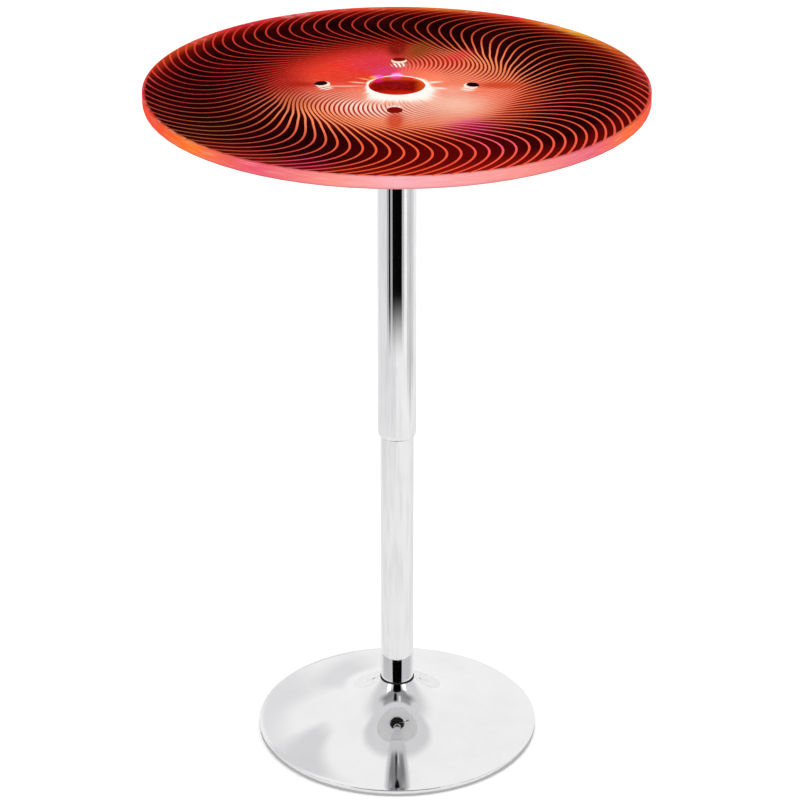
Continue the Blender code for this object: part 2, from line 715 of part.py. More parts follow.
def make_bracket(parent, painted, steel):
    """The channel and the tapered sleeve that hold the top of the cylinder."""
    sleeve = [
        (CYLINDER_RADIUS + GAP, BRACKET_BASE),
        (SLEEVE_RADIUS, BRACKET_BASE),
        (SLEEVE_RADIUS, CYLINDER_TOP - SLEEVE_RECESS),
        (CYLINDER_RADIUS - CYLINDER_TAPER + GAP, CYLINDER_TOP - SLEEVE_RECESS),
    ]
    sleeve_mesh = turned("socket_sleeve", sleeve, RING_SEGMENTS)
    place("socket_sleeve", sleeve_mesh, steel, parent)

    side = BRACKET_HALF_WIDTH
    inside = side - BRACKET_WALL
    floor = BRACKET_BASE + BRACKET_WALL
    top = PLATE_BASE - GAP
    outline = [
        (-side, BRACKET_BASE),
        (side, BRACKET_BASE),
        (side, top),
        (inside, top),
        (inside, floor),
        (-inside, floor),
        (-inside, top),
        (-side, top),
    ]
    channel = extruded("lever_bracket", outline, -BRACKET_HALF_LENGTH, BRACKET_HALF_LENGTH, "X")
    bracket = place("lever_bracket", channel, painted, parent)
    hole = disc_profile(SLEEVE_RADIUS + GAP, BRACKET_BASE - OVERRUN, floor + OVERRUN)
    combine(bracket, hidden("sleeve_cut", turned("sleeve_cut", hole, RING_SEGMENTS)), "DIFFERENCE")
    reach = side + OVERRUN
    pivot = turned("pivot_cut", disc_profile(PIVOT_RADIUS + GAP, -reach, reach), PIN_SEGMENTS)
    across = hidden("pivot_cut", pivot, (PIVOT_OFFSET, 0, PIVOT_HEIGHT), (math.pi / 2, 0, 0))
    combine(bracket, across, "DIFFERENCE")

    end = side + GAP
    pin = [
        (0, -end - PIVOT_HEAD),
        (PIVOT_HEAD_RADIUS, -end - PIVOT_HEAD),
        (PIVOT_HEAD_RADIUS, -end),
        (PIVOT_RADIUS, -end),
        (PIVOT_RADIUS, end + PIVOT_HEAD),
        (0, end + PIVOT_HEAD),
    ]
    spot = (PIVOT_OFFSET, 0, PIVOT_HEIGHT)
    pin_mesh = turned("lever_pivot_pin", pin, PIN_SEGMENTS)
    place("lever_pivot_pin", pin_mesh, steel, parent, spot, (math.pi / 2, 0, 0))


def lever_route():
    """The middle line of the lever's rod from its pivot, level, down in a smooth bend, then level."""
    route = [(0, 0)]
    for step in range(LEVER_STEPS + 1):
        share = step / LEVER_STEPS
        ease = share * share * (3 - 2 * share)
        route.append((LEVER_STRAIGHT + LEVER_BEND_RUN * share, -LEVER_DROP * ease))
    route.append((LEVER_REACH, -LEVER_DROP))
    return route


def make_lever(parent, metal, plastic):
    """The lever that presses the valve pin, about its pivot."""
    rod = swept("lift_lever", lever_route(), LEVER_RADIUS, PIN_SEGMENTS)
    lever = place("lift_lever", rod, metal, parent)
    boss_radius = PIVOT_RADIUS + GAP + BOSS_WALL
    boss = turned("lever_boss", disc_profile(boss_radius, -BOSS_HALF_WIDTH, BOSS_HALF_WIDTH), PIN_SEGMENTS)
    across = (math.pi / 2, math.pi / PIN_SEGMENTS, 0)
    combine(lever, hidden("lever_boss", boss, (0, 0, 0), across, parent), "UNION")
    low = (-PIVOT_OFFSET - FINGER_OVERHANG, -FINGER_HALF_WIDTH, -FINGER_THICKNESS / 2)
    high = (BOSS_WALL, FINGER_HALF_WIDTH, FINGER_THICKNESS / 2)
    finger = hidden("lever_finger", box("lever_finger", low, high), parent=parent)
    combine(lever, finger, "UNION")
    reach = BOSS_HALF_WIDTH + OVERRUN
    bore = turned("lever_bore", disc_profile(PIVOT_RADIUS + GAP, -reach, reach), PIN_SEGMENTS)
    combine(lever, hidden("lever_bore", bore, (0, 0, 0), across, parent), "DIFFERENCE")

    bore_radius = LEVER_RADIUS + GAP
    wide = bore_radius + GRIP_WALL
    end = GRIP_LENGTH + GRIP_END
    grip = [
        (0, GRIP_LENGTH + GAP),
        (bore_radius, GRIP_LENGTH + GAP),
        (bore_radius, 0),
        (wide - GRIP_WAIST, 0),
        (wide - GRIP_WAIST, GRIP_LENGTH / 4),
        (wide, GRIP_LENGTH * 3 / 4),
        (wide, end - GRIP_WALL / 2),
        (wide - GRIP_WALL / 2, end),
        (0, end),
    ]
    spot = (LEVER_REACH - GRIP_LENGTH, 0, -LEVER_DROP)
    grip_mesh = turned("lever_grip", grip, SMALL_SEGMENTS)
    place("lever_grip", grip_mesh, plastic, parent, spot, (0, math.pi / 2, 0))


def make_valve(parent, metal):
    """The pin that opens the gas spring when the lever presses its domed end."""
    base = CYLINDER_TOP - VALVE_BLOCK - VALVE_TAIL
    profile = [
        (0, base),
        (VALVE_RADIUS, base),
        (VALVE_RADIUS, VALVE_TOP - VALVE_DOME),
        (VALVE_RADIUS / 2, VALVE_TOP - VALVE_DOME / 4),
        (0, VALVE_TOP),
    ]
    place("valve_pin", turned("valve_pin", profile, PIN_SEGMENTS), metal, parent)


def fixing_places():
    """(x, y) places of the four fixings."""
    return circle_places(FIXING_CIRCLE / 2, FIXING_COUNT, FIXING_TURN_DEG)


def make_mount_plate(parent, painted):
    """The dished plate under the top, which the standoffs stand on."""
    inner = PLATE_RADIUS - PLATE_LIP_WALL
    profile = [
        (0, PLATE_BASE),
        (inner, PLATE_BASE),
        (inner, PLATE_BASE - PLATE_LIP),
        (PLATE_RADIUS, PLATE_BASE - PLATE_LIP),
        (PLATE_RADIUS, PLATE_TOP),
        (0, PLATE_TOP),
    ]
    plate = place("mount_plate", turned("mount_plate", profile, TUBE_SEGMENTS), painted, parent)
    hole = disc_profile(BOLT_RADIUS + GAP, PLATE_BASE - OVERRUN, PLATE_TOP + OVERRUN)
    holes = turned_group("plate_holes", hole, PIN_SEGMENTS, fixing_places())
    combine(plate, hidden("plate_holes", holes), "DIFFERENCE")


def make_fixings(parent, metal, dark, steel):
    """Four sets of standoff, bolt and nut, from the mount plate up through the top."""
    bore = BOLT_RADIUS + GAP
    collar = FIXING_HOLE_RADIUS + STANDOFF_COLLAR
    shoulder = BACKING_BASE - GAP
    standoff = [
        (bore, PLATE_TOP + GAP),
        (collar, PLATE_TOP + GAP),
        (collar, shoulder),
        (STANDOFF_SHANK, shoulder),
        (STANDOFF_SHANK, TABLE_HEIGHT - GAP),
        (bore, TABLE_HEIGHT - GAP),
    ]
    nut_top = PLATE_BASE - GAP
    nut_base = nut_top - NUT_HEIGHT
    head_base = TABLE_HEIGHT + GAP
    head_top = head_base + BOLT_HEAD_THICKNESS
    bolt = [
        (0, nut_base - BOLT_TAIL),
        (BOLT_RADIUS, nut_base - BOLT_TAIL),
        (BOLT_RADIUS, head_base),
        (BOLT_HEAD_RADIUS, head_base),
        (BOLT_HEAD_RADIUS, head_top - BOLT_HEAD_CHAMFER),
        (BOLT_HEAD_RADIUS - BOLT_HEAD_CHAMFER, head_top),
        (0, head_top),
    ]
    nut_bore = (BOLT_RADIUS + GAP) / math.cos(math.pi / NUT_SIDES)
    nut = tube_profile(nut_bore, NUT_RADIUS, nut_base, nut_top)
    standoff_mesh = turned("standoff", standoff, SMALL_SEGMENTS)
    bolt_mesh = turned("top_bolt", bolt, SMALL_SEGMENTS)
    nut_mesh = turned("plate_nut", nut, NUT_SIDES)
    for number, (x, y) in enumerate(fixing_places(), start=1):
        place(f"standoff_{number}", standoff_mesh, metal, parent, (x, y, 0))
        place(f"top_bolt_{number}", bolt_mesh, dark, parent, (x, y, 0))
        place(f"plate_nut_{number}", nut_mesh, steel, parent, (x, y, 0))


def make_top(parent, acrylic, backing):
    """The acrylic disc and the sheet under it, with the holes that go through both."""
    edge = TOP_RADIUS - TOP_CHAMFER
    disc = [
        (HOLE_RADIUS, TOP_BASE),
        (edge, TOP_BASE),
        (TOP_RADIUS, TOP_BASE + TOP_CHAMFER),
        (TOP_RADIUS, TABLE_HEIGHT - TOP_CHAMFER),
        (edge, TABLE_HEIGHT),
        (HOLE_RADIUS, TABLE_HEIGHT),
    ]
    tabletop = place("tabletop", turned("tabletop", disc, RIM_SEGMENTS), acrylic, parent)
    sheet_profile = tube_profile(HOLE_RADIUS, TOP_RADIUS - BACKING_INSET, BACKING_BASE, BACKING_TOP)
    sheet = place("backing_sheet", turned("backing_sheet", sheet_profile, RIM_SEGMENTS), backing, parent)
    hole = disc_profile(FIXING_HOLE_RADIUS, BACKING_BASE - OVERRUN, TABLE_HEIGHT + OVERRUN)
    holes = hidden("fixing_holes", turned_group("fixing_holes", hole, SMALL_SEGMENTS, fixing_places()))
    for piece in (tabletop, sheet):
        combine(piece, holes, "DIFFERENCE")


def screw_places():
    """(x, y) places of the light unit's two screws, beside the cells."""
    return circle_places(POST_PLACE, SCREW_COUNT, SCREW_TURN_DEG)


def make_puck_case(parent, plastic, clear, steel):
    """The light unit's base cover, its clear wall with the screw posts, and two screws."""
    seat = PUCK_FLOOR_TOP - PUCK_LEDGE
    cover = [
        (0, PUCK_BASE),
        (PUCK_RADIUS, PUCK_BASE),
        (PUCK_RADIUS, seat),
        (PUCK_BORE - GAP, seat),
        (PUCK_BORE - GAP, PUCK_FLOOR_TOP),
        (0, PUCK_FLOOR_TOP),
    ]
    base = place("puck_base", turned("puck_base", cover, RING_SEGMENTS), plastic, parent)
    head_top = PUCK_BASE + SCREW_RECESS + SCREW_HEAD
    through = [
        (0, PUCK_BASE - OVERRUN),
        (SCREW_HEAD_RADIUS + GAP, PUCK_BASE - OVERRUN),
        (SCREW_HEAD_RADIUS + GAP, head_top + GAP),
        (SCREW_RADIUS + GAP, head_top + GAP),
        (SCREW_RADIUS + GAP, head_top + SCREW_LENGTH + GAP),
        (0, head_top + SCREW_LENGTH + GAP),
    ]
    holes = hidden("screw_holes", turned_group("screw_holes", through, PIN_SEGMENTS, screw_places()))
    combine(base, holes, "DIFFERENCE")

    wall = tube_profile(PUCK_BORE, PUCK_RADIUS, seat + GAP, PUCK_CASE_TOP)
    case = place("puck_case", turned("puck_case", wall, RING_SEGMENTS), clear, parent)
    post = disc_profile(POST_RADIUS, PUCK_FLOOR_TOP + GAP, BOARD_BASE - GAP)
    posts = hidden("screw_posts", turned_group("screw_posts", post, PIN_SEGMENTS, screw_places()))
    combine(case, posts, "UNION")
    combine(case, holes, "DIFFERENCE")

    screw = [
        (0, PUCK_BASE + SCREW_RECESS),
        (SCREW_HEAD_RADIUS, PUCK_BASE + SCREW_RECESS),
        (SCREW_HEAD_RADIUS, head_top),
        (SCREW_RADIUS, head_top),
        (SCREW_RADIUS, head_top + SCREW_LENGTH),
        (0, head_top + SCREW_LENGTH),
    ]
    screw_mesh = turned("puck_screw", screw, PIN_SEGMENTS)
    for number, (x, y) in enumerate(screw_places(), start=1):
        place(f"puck_screw_{number}", screw_mesh, steel, parent, (x, y, 0))


def battery_rows():
    """The y place of each cell."""
    middle = (BATTERY_COUNT - 1) / 2
    return [(number - middle) * BATTERY_PITCH for number in range(BATTERY_COUNT)]


def make_cells(parent, wrap, brass):
    """Three cells side by side and the contact strips at their ends."""
    half = BATTERY_HALF_LENGTH
    body = half - BATTERY_NIPPLE
    rim = BATTERY_RADIUS - BATTERY_SHOULDER
    cell = [
        (0, -half),
        (rim, -half),
        (BATTERY_RADIUS, -half + BATTERY_SHOULDER),
        (BATTERY_RADIUS, body - BATTERY_SHOULDER),
        (rim, body),
        (BATTERY_NIPPLE_RADIUS, body),
        (BATTERY_NIPPLE_RADIUS, half),
        (0, half),
    ]
    cell_mesh = turned("battery", cell, PIN_SEGMENTS)
    for number, y in enumerate(battery_rows(), start=1):
        turn = math.pi / 2 if number % 2 else -math.pi / 2
        place(f"battery_{number}", cell_mesh, wrap, parent, (0, y, BATTERY_HEIGHT), (0, turn, 0))

    bump = [
        (0, CONTACT_FACE - CONTACT_BUMP),
        (CONTACT_TIP_RADIUS, CONTACT_FACE - CONTACT_BUMP),
        (CONTACT_BUMP_RADIUS, CONTACT_FACE + CONTACT_THICKNESS / 2),
        (0, CONTACT_FACE + CONTACT_THICKNESS / 2),
    ]
    low_y = -PACK_HALF_WIDTH
    floor = PUCK_FLOOR_TOP + GAP
    roof = BATTERY_HEIGHT + CONTACT_BUMP_RADIUS + GAP
    for name, turn in (("battery_contact_right", math.pi / 2), ("battery_contact_left", -math.pi / 2)):
        sign = math.copysign(1, turn)
        ends = sorted((sign * CONTACT_FACE, sign * PACK_HALF_LENGTH))
        strip = box(name, (ends[0], low_y, floor), (ends[1], PACK_HALF_WIDTH, roof))
        contact = place(name, strip, brass, parent)
        spots = [(0, y) for y in battery_rows()]
        bumps = turned_group(name + "_bumps", bump, PIN_SEGMENTS, spots)
        tool = hidden(name + "_bumps", bumps, (0, 0, BATTERY_HEIGHT), (0, turn, 0), parent)
        combine(contact, tool, "UNION")


def make_board(parent, green, plastic, steel):
    """The board with its ring of LEDs, the tap switch and the spring that lifts the cap."""
    board = turned("led_board", disc_profile(PUCK_BORE - GAP, BOARD_BASE, BOARD_TOP), RING_SEGMENTS)
    board_piece = place("led_board", board, green, parent)
    led = [
        (0, BOARD_TOP - BOARD_THICKNESS / 2),
        (LED_RADIUS, BOARD_TOP - BOARD_THICKNESS / 2),
        (LED_TIP_RADIUS, BOARD_TOP + LED_HEIGHT),
        (0, BOARD_TOP + LED_HEIGHT),
    ]
    leds = turned_group("leds", led, NUT_SIDES, circle_places(LED_CIRCLE, LED_COUNT, LED_TURN_DEG))
    combine(board_piece, hidden("leds", leds), "UNION")

    half = SWITCH_HALF_WIDTH
    switch = box("tap_switch", (-half, -half, BOARD_TOP + GAP), (half, half, SWITCH_TOP))
    place("tap_switch", switch, plastic, parent)

    spring = spring_mesh("cap_spring", BOARD_TOP + GAP, CAP_ROOF - CAP_TRAVEL - GAP)
    place("cap_spring", spring, steel, parent)


def spring_mesh(name, base, top):
    """One coil spring standing between two heights, its wire a tube with flat ends."""
    shape = bmesh.new()
    count = SPRING_TURNS * SPRING_STEPS
    rise = top - base - 2 * SPRING_WIRE
    rings = []
    for step in range(count + 1):
        turn = 2 * math.pi * step / SPRING_STEPS
        height = base + SPRING_WIRE + rise * step / count
        ring = []
        for side in range(SPRING_SIDES):
            around = 2 * math.pi * side / SPRING_SIDES
            out = SPRING_RADIUS + SPRING_WIRE * math.cos(around)
            up = height + SPRING_WIRE * math.sin(around)
            ring.append(shape.verts.new((out * math.cos(turn), out * math.sin(turn), up)))
        rings.append(ring)
    for ring, following in zip(rings, rings[1:]):
        for side in range(SPRING_SIDES):
            after = (side + 1) % SPRING_SIDES
            shape.faces.new((ring[side], following[side], following[after], ring[after]))
    shape.faces.new(rings[0])
    shape.faces.new(list(reversed(rings[-1])))
    bmesh.ops.recalc_face_normals(shape, faces=shape.faces)
    return mesh_from(name, shape)


def make_cap(parent, lens):
    """The domed lens, which is pressed to switch the light, with its skirt and its post."""
    edge = PUCK_RADIUS - GAP
    flange_top = CAP_FLANGE + CAP_EDGE
    profile = [
        (0, CAP_POST_END),
        (CAP_POST_RADIUS, CAP_POST_END),
        (CAP_POST_RADIUS, CAP_ROOF),
        (SKIRT_BORE, CAP_ROOF - CAP_CROWN),
        (SKIRT_BORE, CAP_FLANGE - SKIRT_DEPTH),
        (SKIRT_RADIUS, CAP_FLANGE - SKIRT_DEPTH),
        (SKIRT_RADIUS, CAP_FLANGE),
        (edge, CAP_FLANGE),
        (edge, flange_top),
        (edge * 3 / 4, flange_top + CAP_CROWN * 7 / 16),
        (edge / 2, flange_top + CAP_CROWN * 3 / 4),
        (0, CAP_TOP),
    ]
    place("lens_cap", turned("lens_cap", profile, RING_SEGMENTS), lens, parent)


def main():
    """Builds the table, one group of pieces for each body that moves."""
    clear_scene()
    chrome = finish("chrome", (0.86, 0.87, 0.88), 1.0, 0.07)
    steel = finish("zinc_steel", (0.62, 0.63, 0.64), 1.0, 0.35)
    painted = finish("black_paint", (0.02, 0.02, 0.02), 0.0, 0.45)
    rubber = finish("black_rubber", (0.03, 0.03, 0.03), 0.0, 0.75)
    plastic = finish("black_plastic", (0.04, 0.04, 0.04), 0.0, 0.50)
    white_plastic = finish("white_plastic", (0.82, 0.82, 0.80), 0.0, 0.40)
    acrylic = finish("lit_acrylic", (0.45, 0.03, 0.02), 0.0, 0.08, 0.3)
    backing = finish("grey_backing", (0.62, 0.62, 0.62), 0.0, 0.50)
    bolt_dark = finish("dark_bolt", (0.10, 0.01, 0.01), 0.0, 0.35)
    lens = finish("red_lens", (0.42, 0.02, 0.02), 0.0, 0.25, 0.2)
    clear = finish("clear_plastic", (0.85, 0.80, 0.80), 0.0, 0.20, 0.6)
    brass = finish("brass_strip", (0.75, 0.58, 0.28), 1.0, 0.30)
    green = finish("board_green", (0.02, 0.16, 0.06), 0.0, 0.45)
    wrap = finish("cell_wrap", (0.12, 0.13, 0.15), 0.3, 0.35)

    make_base(chrome, rubber, steel)
    make_column(chrome, steel, plastic)

    swivel = axis("swivel_axis", None, (0, 0, END_PLATE_TOP))
    swivel_pieces = axis("swivel_pieces", swivel, (0, 0, -END_PLATE_TOP))
    make_bearing(swivel_pieces, steel, rubber)
    make_rod(swivel_pieces, chrome, white_plastic, rubber)

    lift = axis("lift_axis", swivel_pieces)
    make_cylinder(lift, painted, plastic)
    make_cover(lift, chrome, white_plastic)
    make_bracket(lift, painted, steel)
    make_mount_plate(lift, painted)
    make_fixings(lift, chrome, bolt_dark, steel)
    make_top(lift, acrylic, backing)

    make_lever(axis("lever_axis", lift, (PIVOT_OFFSET, 0, PIVOT_HEIGHT)), chrome, plastic)
    make_valve(axis("valve_axis", lift), steel)

    puck = axis("puck_axis", lift)
    make_puck_case(puck, plastic, clear, steel)
    make_cells(puck, wrap, brass)
    make_board(puck, green, plastic, steel)
    make_cap(axis("cap_axis", puck), lens)


main()
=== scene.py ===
from functools import cached_property
import math

import bmesh
import bpy
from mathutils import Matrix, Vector


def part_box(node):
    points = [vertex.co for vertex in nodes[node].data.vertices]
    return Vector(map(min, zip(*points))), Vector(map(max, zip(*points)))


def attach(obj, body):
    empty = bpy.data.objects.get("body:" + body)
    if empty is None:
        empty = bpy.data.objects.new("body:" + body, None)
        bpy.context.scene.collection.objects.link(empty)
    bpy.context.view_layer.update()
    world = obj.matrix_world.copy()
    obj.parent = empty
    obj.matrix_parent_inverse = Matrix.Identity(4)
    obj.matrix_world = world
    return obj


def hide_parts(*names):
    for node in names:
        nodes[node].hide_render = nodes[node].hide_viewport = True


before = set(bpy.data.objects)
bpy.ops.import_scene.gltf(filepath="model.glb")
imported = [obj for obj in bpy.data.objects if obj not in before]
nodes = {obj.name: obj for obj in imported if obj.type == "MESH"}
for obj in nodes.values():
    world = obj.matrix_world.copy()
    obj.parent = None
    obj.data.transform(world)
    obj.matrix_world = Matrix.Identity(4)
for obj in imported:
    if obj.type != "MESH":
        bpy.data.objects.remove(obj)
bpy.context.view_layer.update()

# Sizes repeated from the CAD source, in metres
TABLE_HEIGHT = 0.9440
TOP_RADIUS = 0.3240
TOP_BASE = 0.9297
HOLE_GAP = 0.0015
HOLE_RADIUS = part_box("puck_case")[1].x + HOLE_GAP
FIXING_CIRCLE = 0.0950
FIXING_TURN = math.radians(-1.6)
FIXING_HOLE = 0.0095
FIXING_COUNT = 4
CELL_COUNT = 3
SHELL_RADIUS = 0.1935
NECK_RADIUS = 0.0248
NECK_HEIGHT = 0.0750
SHELL_WALL = 0.0020
RIM_LIFT = 0.0015
RIM_TOP = 0.0095
FLARE_SHARE = 0.13
COLUMN_RADIUS = 0.0225
COLUMN_BORE = 0.0205
COLUMN_TOP = 0.5039
COLUMN_BASE = 0.0140
COLUMN_TAPER = 0.0010
COLUMN_TAPER_TOP = 0.0600
COVER_RADIUS = 0.0260
COVER_BORE = 0.0245
COVER_BASE = 0.4509
COVER_TOP = 0.8689
LIP_BORE = 0.0236
LIP_RADIUS = 0.0243
LIP_RISE = 0.0070
LIP_DEPTH = 0.0040
CELL_ENDS = (0.0128, 0.0134)
BOARD_TOP = (0.9351, 0.9355)

# Sizes of the finer forms that only the visual model has, in metres
TOP_EDGE = 0.0006
CUTTER_SPARE = 0.0020
SHELL_EDGE = 0.0012
SHELL_EDGE_TURN = 84
GLIDE_BORE = 0.0228
GLIDE_LOWER_RADIUS = 0.0233
GLIDE_UPPER_RADIUS = 0.0242
GLIDE_STEP = 0.0043
SEAL_GAP = 0.0003
SEAL_WALL = 0.0008
SEAL_HEIGHT = 0.0007

# How finely the round forms are divided
TOP_SEGMENTS = 256
SHELL_SEGMENTS = 200
TUBE_SEGMENTS = 128
SEAL_SEGMENTS = 96
HOLE_SEGMENTS = 40
SHELL_OUTER_STEPS = 60
SHELL_INNER_STEPS = 24
LIP_STEPS = 8
TOP_EDGE_STEPS = 3
SHELL_EDGE_STEPS = 6
SEAL_STEPS = 6

# The acrylic's material slots, and how level its faces are
FACE_SLOT = 0
SIDE_SLOT = 1
UNDER_SLOT = 2
LEVEL_ENOUGH = 0.6

# The engraved lines: places as shares of the top's radius, widths and heights in metres
LINE_COUNT = 90
LINE_START = 3.0
LINE_STEPS = 44
LINE_FIRST = 0.114
LINE_LAST = 0.9950
LINE_LIFT = 0.00002
LINE_RIDGE = 0.00018
LINE_HALF = 0.00106
# What half a line's width gains outwards, up to a share of the radius
LINE_WIDER_OUT = 0.00020
LINE_OUTER_SHARE = 0.65
# Its share at the sides, and how much that grows to the front
LINE_AT_SIDES = 1.02
LINE_AT_FRONT = 0.13
# What it gains in the bright part, which starts and ends softly: (place, length)
LINE_WIDER_BRIGHT = 0.00034
BRIGHT_START = (0.17, 0.07)
BRIGHT_END = (0.54, 0.14)
# The turn of a line follows two bows: (degrees at its middle, bend, middle)
INNER_BOW = (-48.5, 345, 0.15)
OUTER_BOW = (9.1, -240, 0.747)
# Where the inner bow gives way to the outer: (place, length)
BOW_CHANGE = (0.39, 0.16)

# Colours as they should look on screen, 0 to 255
INK = (26, 1, 2)
INK_RED = (48, 3, 4)
# Painted deep red glow round the edge of the haze
DEEP_GLOW_RED = (178, 36, 18)
# Painted red glow near the rim
EDGE_GLOW_RED = (156, 22, 8)
WINE = (120, 10, 6)
PEACH = (252, 144, 98)
ORANGE = (244, 104, 58)
PALE = (255, 230, 215)
WHITE_HOT = (255, 252, 246)
BLACK = (0, 0, 0)

# The tables below paint the light from the middle on the acrylic, going round the top by angle: (degrees
# from +X, colour or number)
# Colour of the haze that the light in the middle spreads
HAZE = [(-180, (250, 75, 40)), (-155, (245, 105, 70)), (-110, (220, 105, 75)), (-75, (230, 135, 105)),
        (-42, (242, 155, 128)), (-12, (246, 112, 76)), (25, (255, 124, 82)), (60, (250, 98, 66)),
        (102, (242, 55, 80)), (135, (255, 54, 38)), (180, (250, 75, 40))]
# How much of that haze lies over the dark acrylic
FILL = [(-180, 0.95), (-160, 0.50), (-140, 0.10), (-105, 0.12), (-80, 0.60), (-50, 1.0), (-10, 0.95),
        (20, 0.60), (50, 0.10), (82, 0.10), (100, 0.90), (140, 1.0), (180, 0.95)]
# How much of the painted deep red glow lies under the haze
DEEP_GLOW = [(-180, 1.0), (10, 1.0), (32, 0.60), (68, 0.60), (88, 1.0), (180, 1.0)]
# Where the light is half gone, as a share of the top's radius
REACH = [(-180, 0.45), (-140, 0.41), (-100, 0.50), (-60, 0.56), (-15, 0.52), (20, 0.42), (60, 0.44),
         (100, 0.49), (150, 0.50), (180, 0.45)]
# How far the white-hot light reaches from the edge of the hole, as a share of the top's radius
HOT = [(-180, 0.007), (-160, 0.014), (-140, 0.034), (-120, 0.080), (-90, 0.070), (-55, 0.088),
       (-26, 0.050), (0, 0.018), (25, 0.014), (60, 0.004), (76, 0.004), (90, 0.016), (104, 0.004),
       (140, 0.004), (155, 0.009), (180, 0.007)]
# Colour of the lit rim
RIM = [(-180, (240, 60, 50)), (-156, (250, 80, 50)), (-140, (255, 125, 35)), (-122, (240, 88, 116)),
       (-104, (255, 152, 142)), (-90, (255, 182, 190)), (-60, (255, 150, 142)), (-44, (238, 108, 130)),
       (-30, (255, 112, 56)), (-6, (245, 75, 75)), (6, (230, 55, 65)), (28, (235, 120, 45)),
       (42, (245, 175, 50)), (60, (235, 45, 45)), (78, (230, 120, 40)), (102, (240, 70, 60)),
       (130, (225, 40, 60)), (152, (235, 85, 40)), (180, (240, 60, 50))]
# How strongly the rim's far wall glows through the acrylic
EDGE = [(-180, 0.05), (-150, 0.0), (-120, 0.40), (-75, 0.75), (-45, 0.42), (-15, 0.26), (15, 0.42),
        (45, 0.88), (100, 0.90), (140, 0.80), (165, 0.35), (180, 0.05)]
# Colour of the painted glow of the engraved lines in the outer part
LINE_GLOW = [(-180, (166, 38, 44)), (-145, (158, 70, 44)), (-118, (204, 72, 62)), (-95, (246, 92, 48)),
         (-72, (252, 82, 58)), (-42, (248, 92, 66)), (-10, (222, 72, 54)), (22, (184, 72, 38)),
         (50, (196, 76, 44)), (85, (178, 52, 34)), (140, (208, 52, 40)), (180, (166, 38, 44))]
# How much brighter the lines turn inwards
BRIGHT = [(-180, 0.10), (-155, 0.45), (-135, 1.0), (-60, 0.90), (-20, 0.50), (15, 0.75), (50, 1.0),
          (72, 0.25), (95, 0.0), (165, 0.0), (180, 0.10)]
# How pale the painted light makes the lines near the hole
PALE_SHARE = [(-180, 0.05), (-150, 0.30), (-120, 1.0), (-65, 0.95), (-30, 0.40), (0, 0.10), (40, 0.15),
              (75, 0.05), (95, 0.0), (180, 0.05)]
# Where the lines sink into the red haze
QUIET = [(-180, 0.55), (-160, 0.0), (80, 0.0), (96, 1.0), (165, 1.0), (180, 0.55)]

# Round patches of painted light: (degrees, share of the top's radius, reach in metres, colour, strength)
HOLE_SHARE = HOLE_RADIUS / TOP_RADIUS
HAZE_PATCHES = (
    (-43, 0.32, 0.054, (250, 196, 172), 0.70),
    (-14, 0.23, 0.030, (252, 176, 152), 0.60),
    (116, 0.27, 0.040, (240, 46, 96), 0.45),
    (104, 0.18, 0.030, (240, 60, 160), 0.75),
    (-59, 0.54, 0.040, (236, 60, 140), 0.85),
    (-95, 0.30, 0.040, (232, 84, 52), 0.45),
)
OUTER_LINE_PATCHES = (
    (-111, 0.93, 0.050, (226, 60, 120), 0.85),
    (-60, 0.76, 0.050, (252, 84, 130), 0.75),
    (-20, 0.66, 0.045, (226, 76, 96), 0.55),
    (-145, 0.84, 0.060, (140, 92, 46), 0.80),
)
INNER_LINE_PATCHES = (
    (-59, 0.56, 0.055, (244, 70, 160), 0.80),
    (52, 0.29, 0.065, (255, 100, 62), 1.30),
)
GLINTS_BEHIND_HOLE = (
    (133, HOLE_SHARE + 0.014, 0.011, (255, 190, 60), 0.95),
    (124, HOLE_SHARE + 0.014, 0.011, (255, 90, 220), 0.95),
    (90, HOLE_SHARE + 0.014, 0.011, (255, 170, 255), 0.95),
)
HOLE_WALL_PATCHES = (
    (133, HOLE_SHARE, 0.012, (236, 40, 130), 0.95),
    (92, HOLE_SHARE, 0.012, (250, 80, 170), 0.95),
)
# A dim painted red glow over the front of the top, towards the rim
DIM_GLOW_PATCH = ((-78, 0.90, 0.190, WINE, 0.55),)
# Painted pale light in front of the hole
FRONT_GLOW_PATCH = ((-100, 0.42, 0.040, (236, 140, 104), 0.50),)

# Long patches: (degrees, share of the top's radius, (half length, half width), colour, strength)
# First the shadows of the four fixings, then the sparks round the hole
STREAKS = (
    (-91, 0.40, (0.050, 0.017), (206, 58, 28), 1.2),
    (0, 0.40, (0.050, 0.020), (208, 62, 28), 1.1),
    (90, 0.46, (0.052, 0.019), (124, 16, 8), 1.4),
    (78, 0.44, (0.052, 0.024), (136, 64, 18), 0.9),
    (55, 0.43, (0.046, 0.024), (226, 44, 54), 0.65),
    (178, 0.39, (0.046, 0.017), (172, 32, 20), 1.0),
    (183, 0.20, (0.040, 0.0040), (255, 196, 176), 0.9),
    (168, 0.155, (0.018, 0.0040), (255, 222, 184), 0.9),
    (150, 0.146, (0.014, 0.0036), (255, 196, 90), 0.9),
    (14, 0.148, (0.017, 0.0050), WHITE_HOT, 1.1),
    (-12, 0.160, (0.019, 0.0060), WHITE_HOT, 1.1),
)
STREAK_MOST = 0.82

# How fine the streaks are: repeats along each axis, or round a turn and down
STREAK_REPEATS = (170, 170, 13)
HAZE_REPEATS = (60.0, 420.0)
RIM_REPEATS = (60.0, 900.0)
RAY_REPEATS = 90.0
# Where the hole's wall takes over from the face: depths in metres, and shares of the radius
WALL_DEPTHS = (0.0001, 0.0005)
WALL_SHARES = (0.13, 0.12)

# Where the light beside each fixing lies from its middle: (inwards, to the front), in metres
BESIDE_FIXING = ((0.0045, 0.0110), (0.0045, 0.0110), (0.0045, 0.0110), (0.0100, 0.0))
# The unlit middle of each head, round which a lit edge is painted: (outwards, to the back, in metres, and
# how far its distances count)
HEAD_MIDDLE = ((0.0026, 0.0018, 1.0), (0.0, 0.0032, 1.0), (0.0026, 0.0018, 1.0), (0.0, 0.0, 0.8))

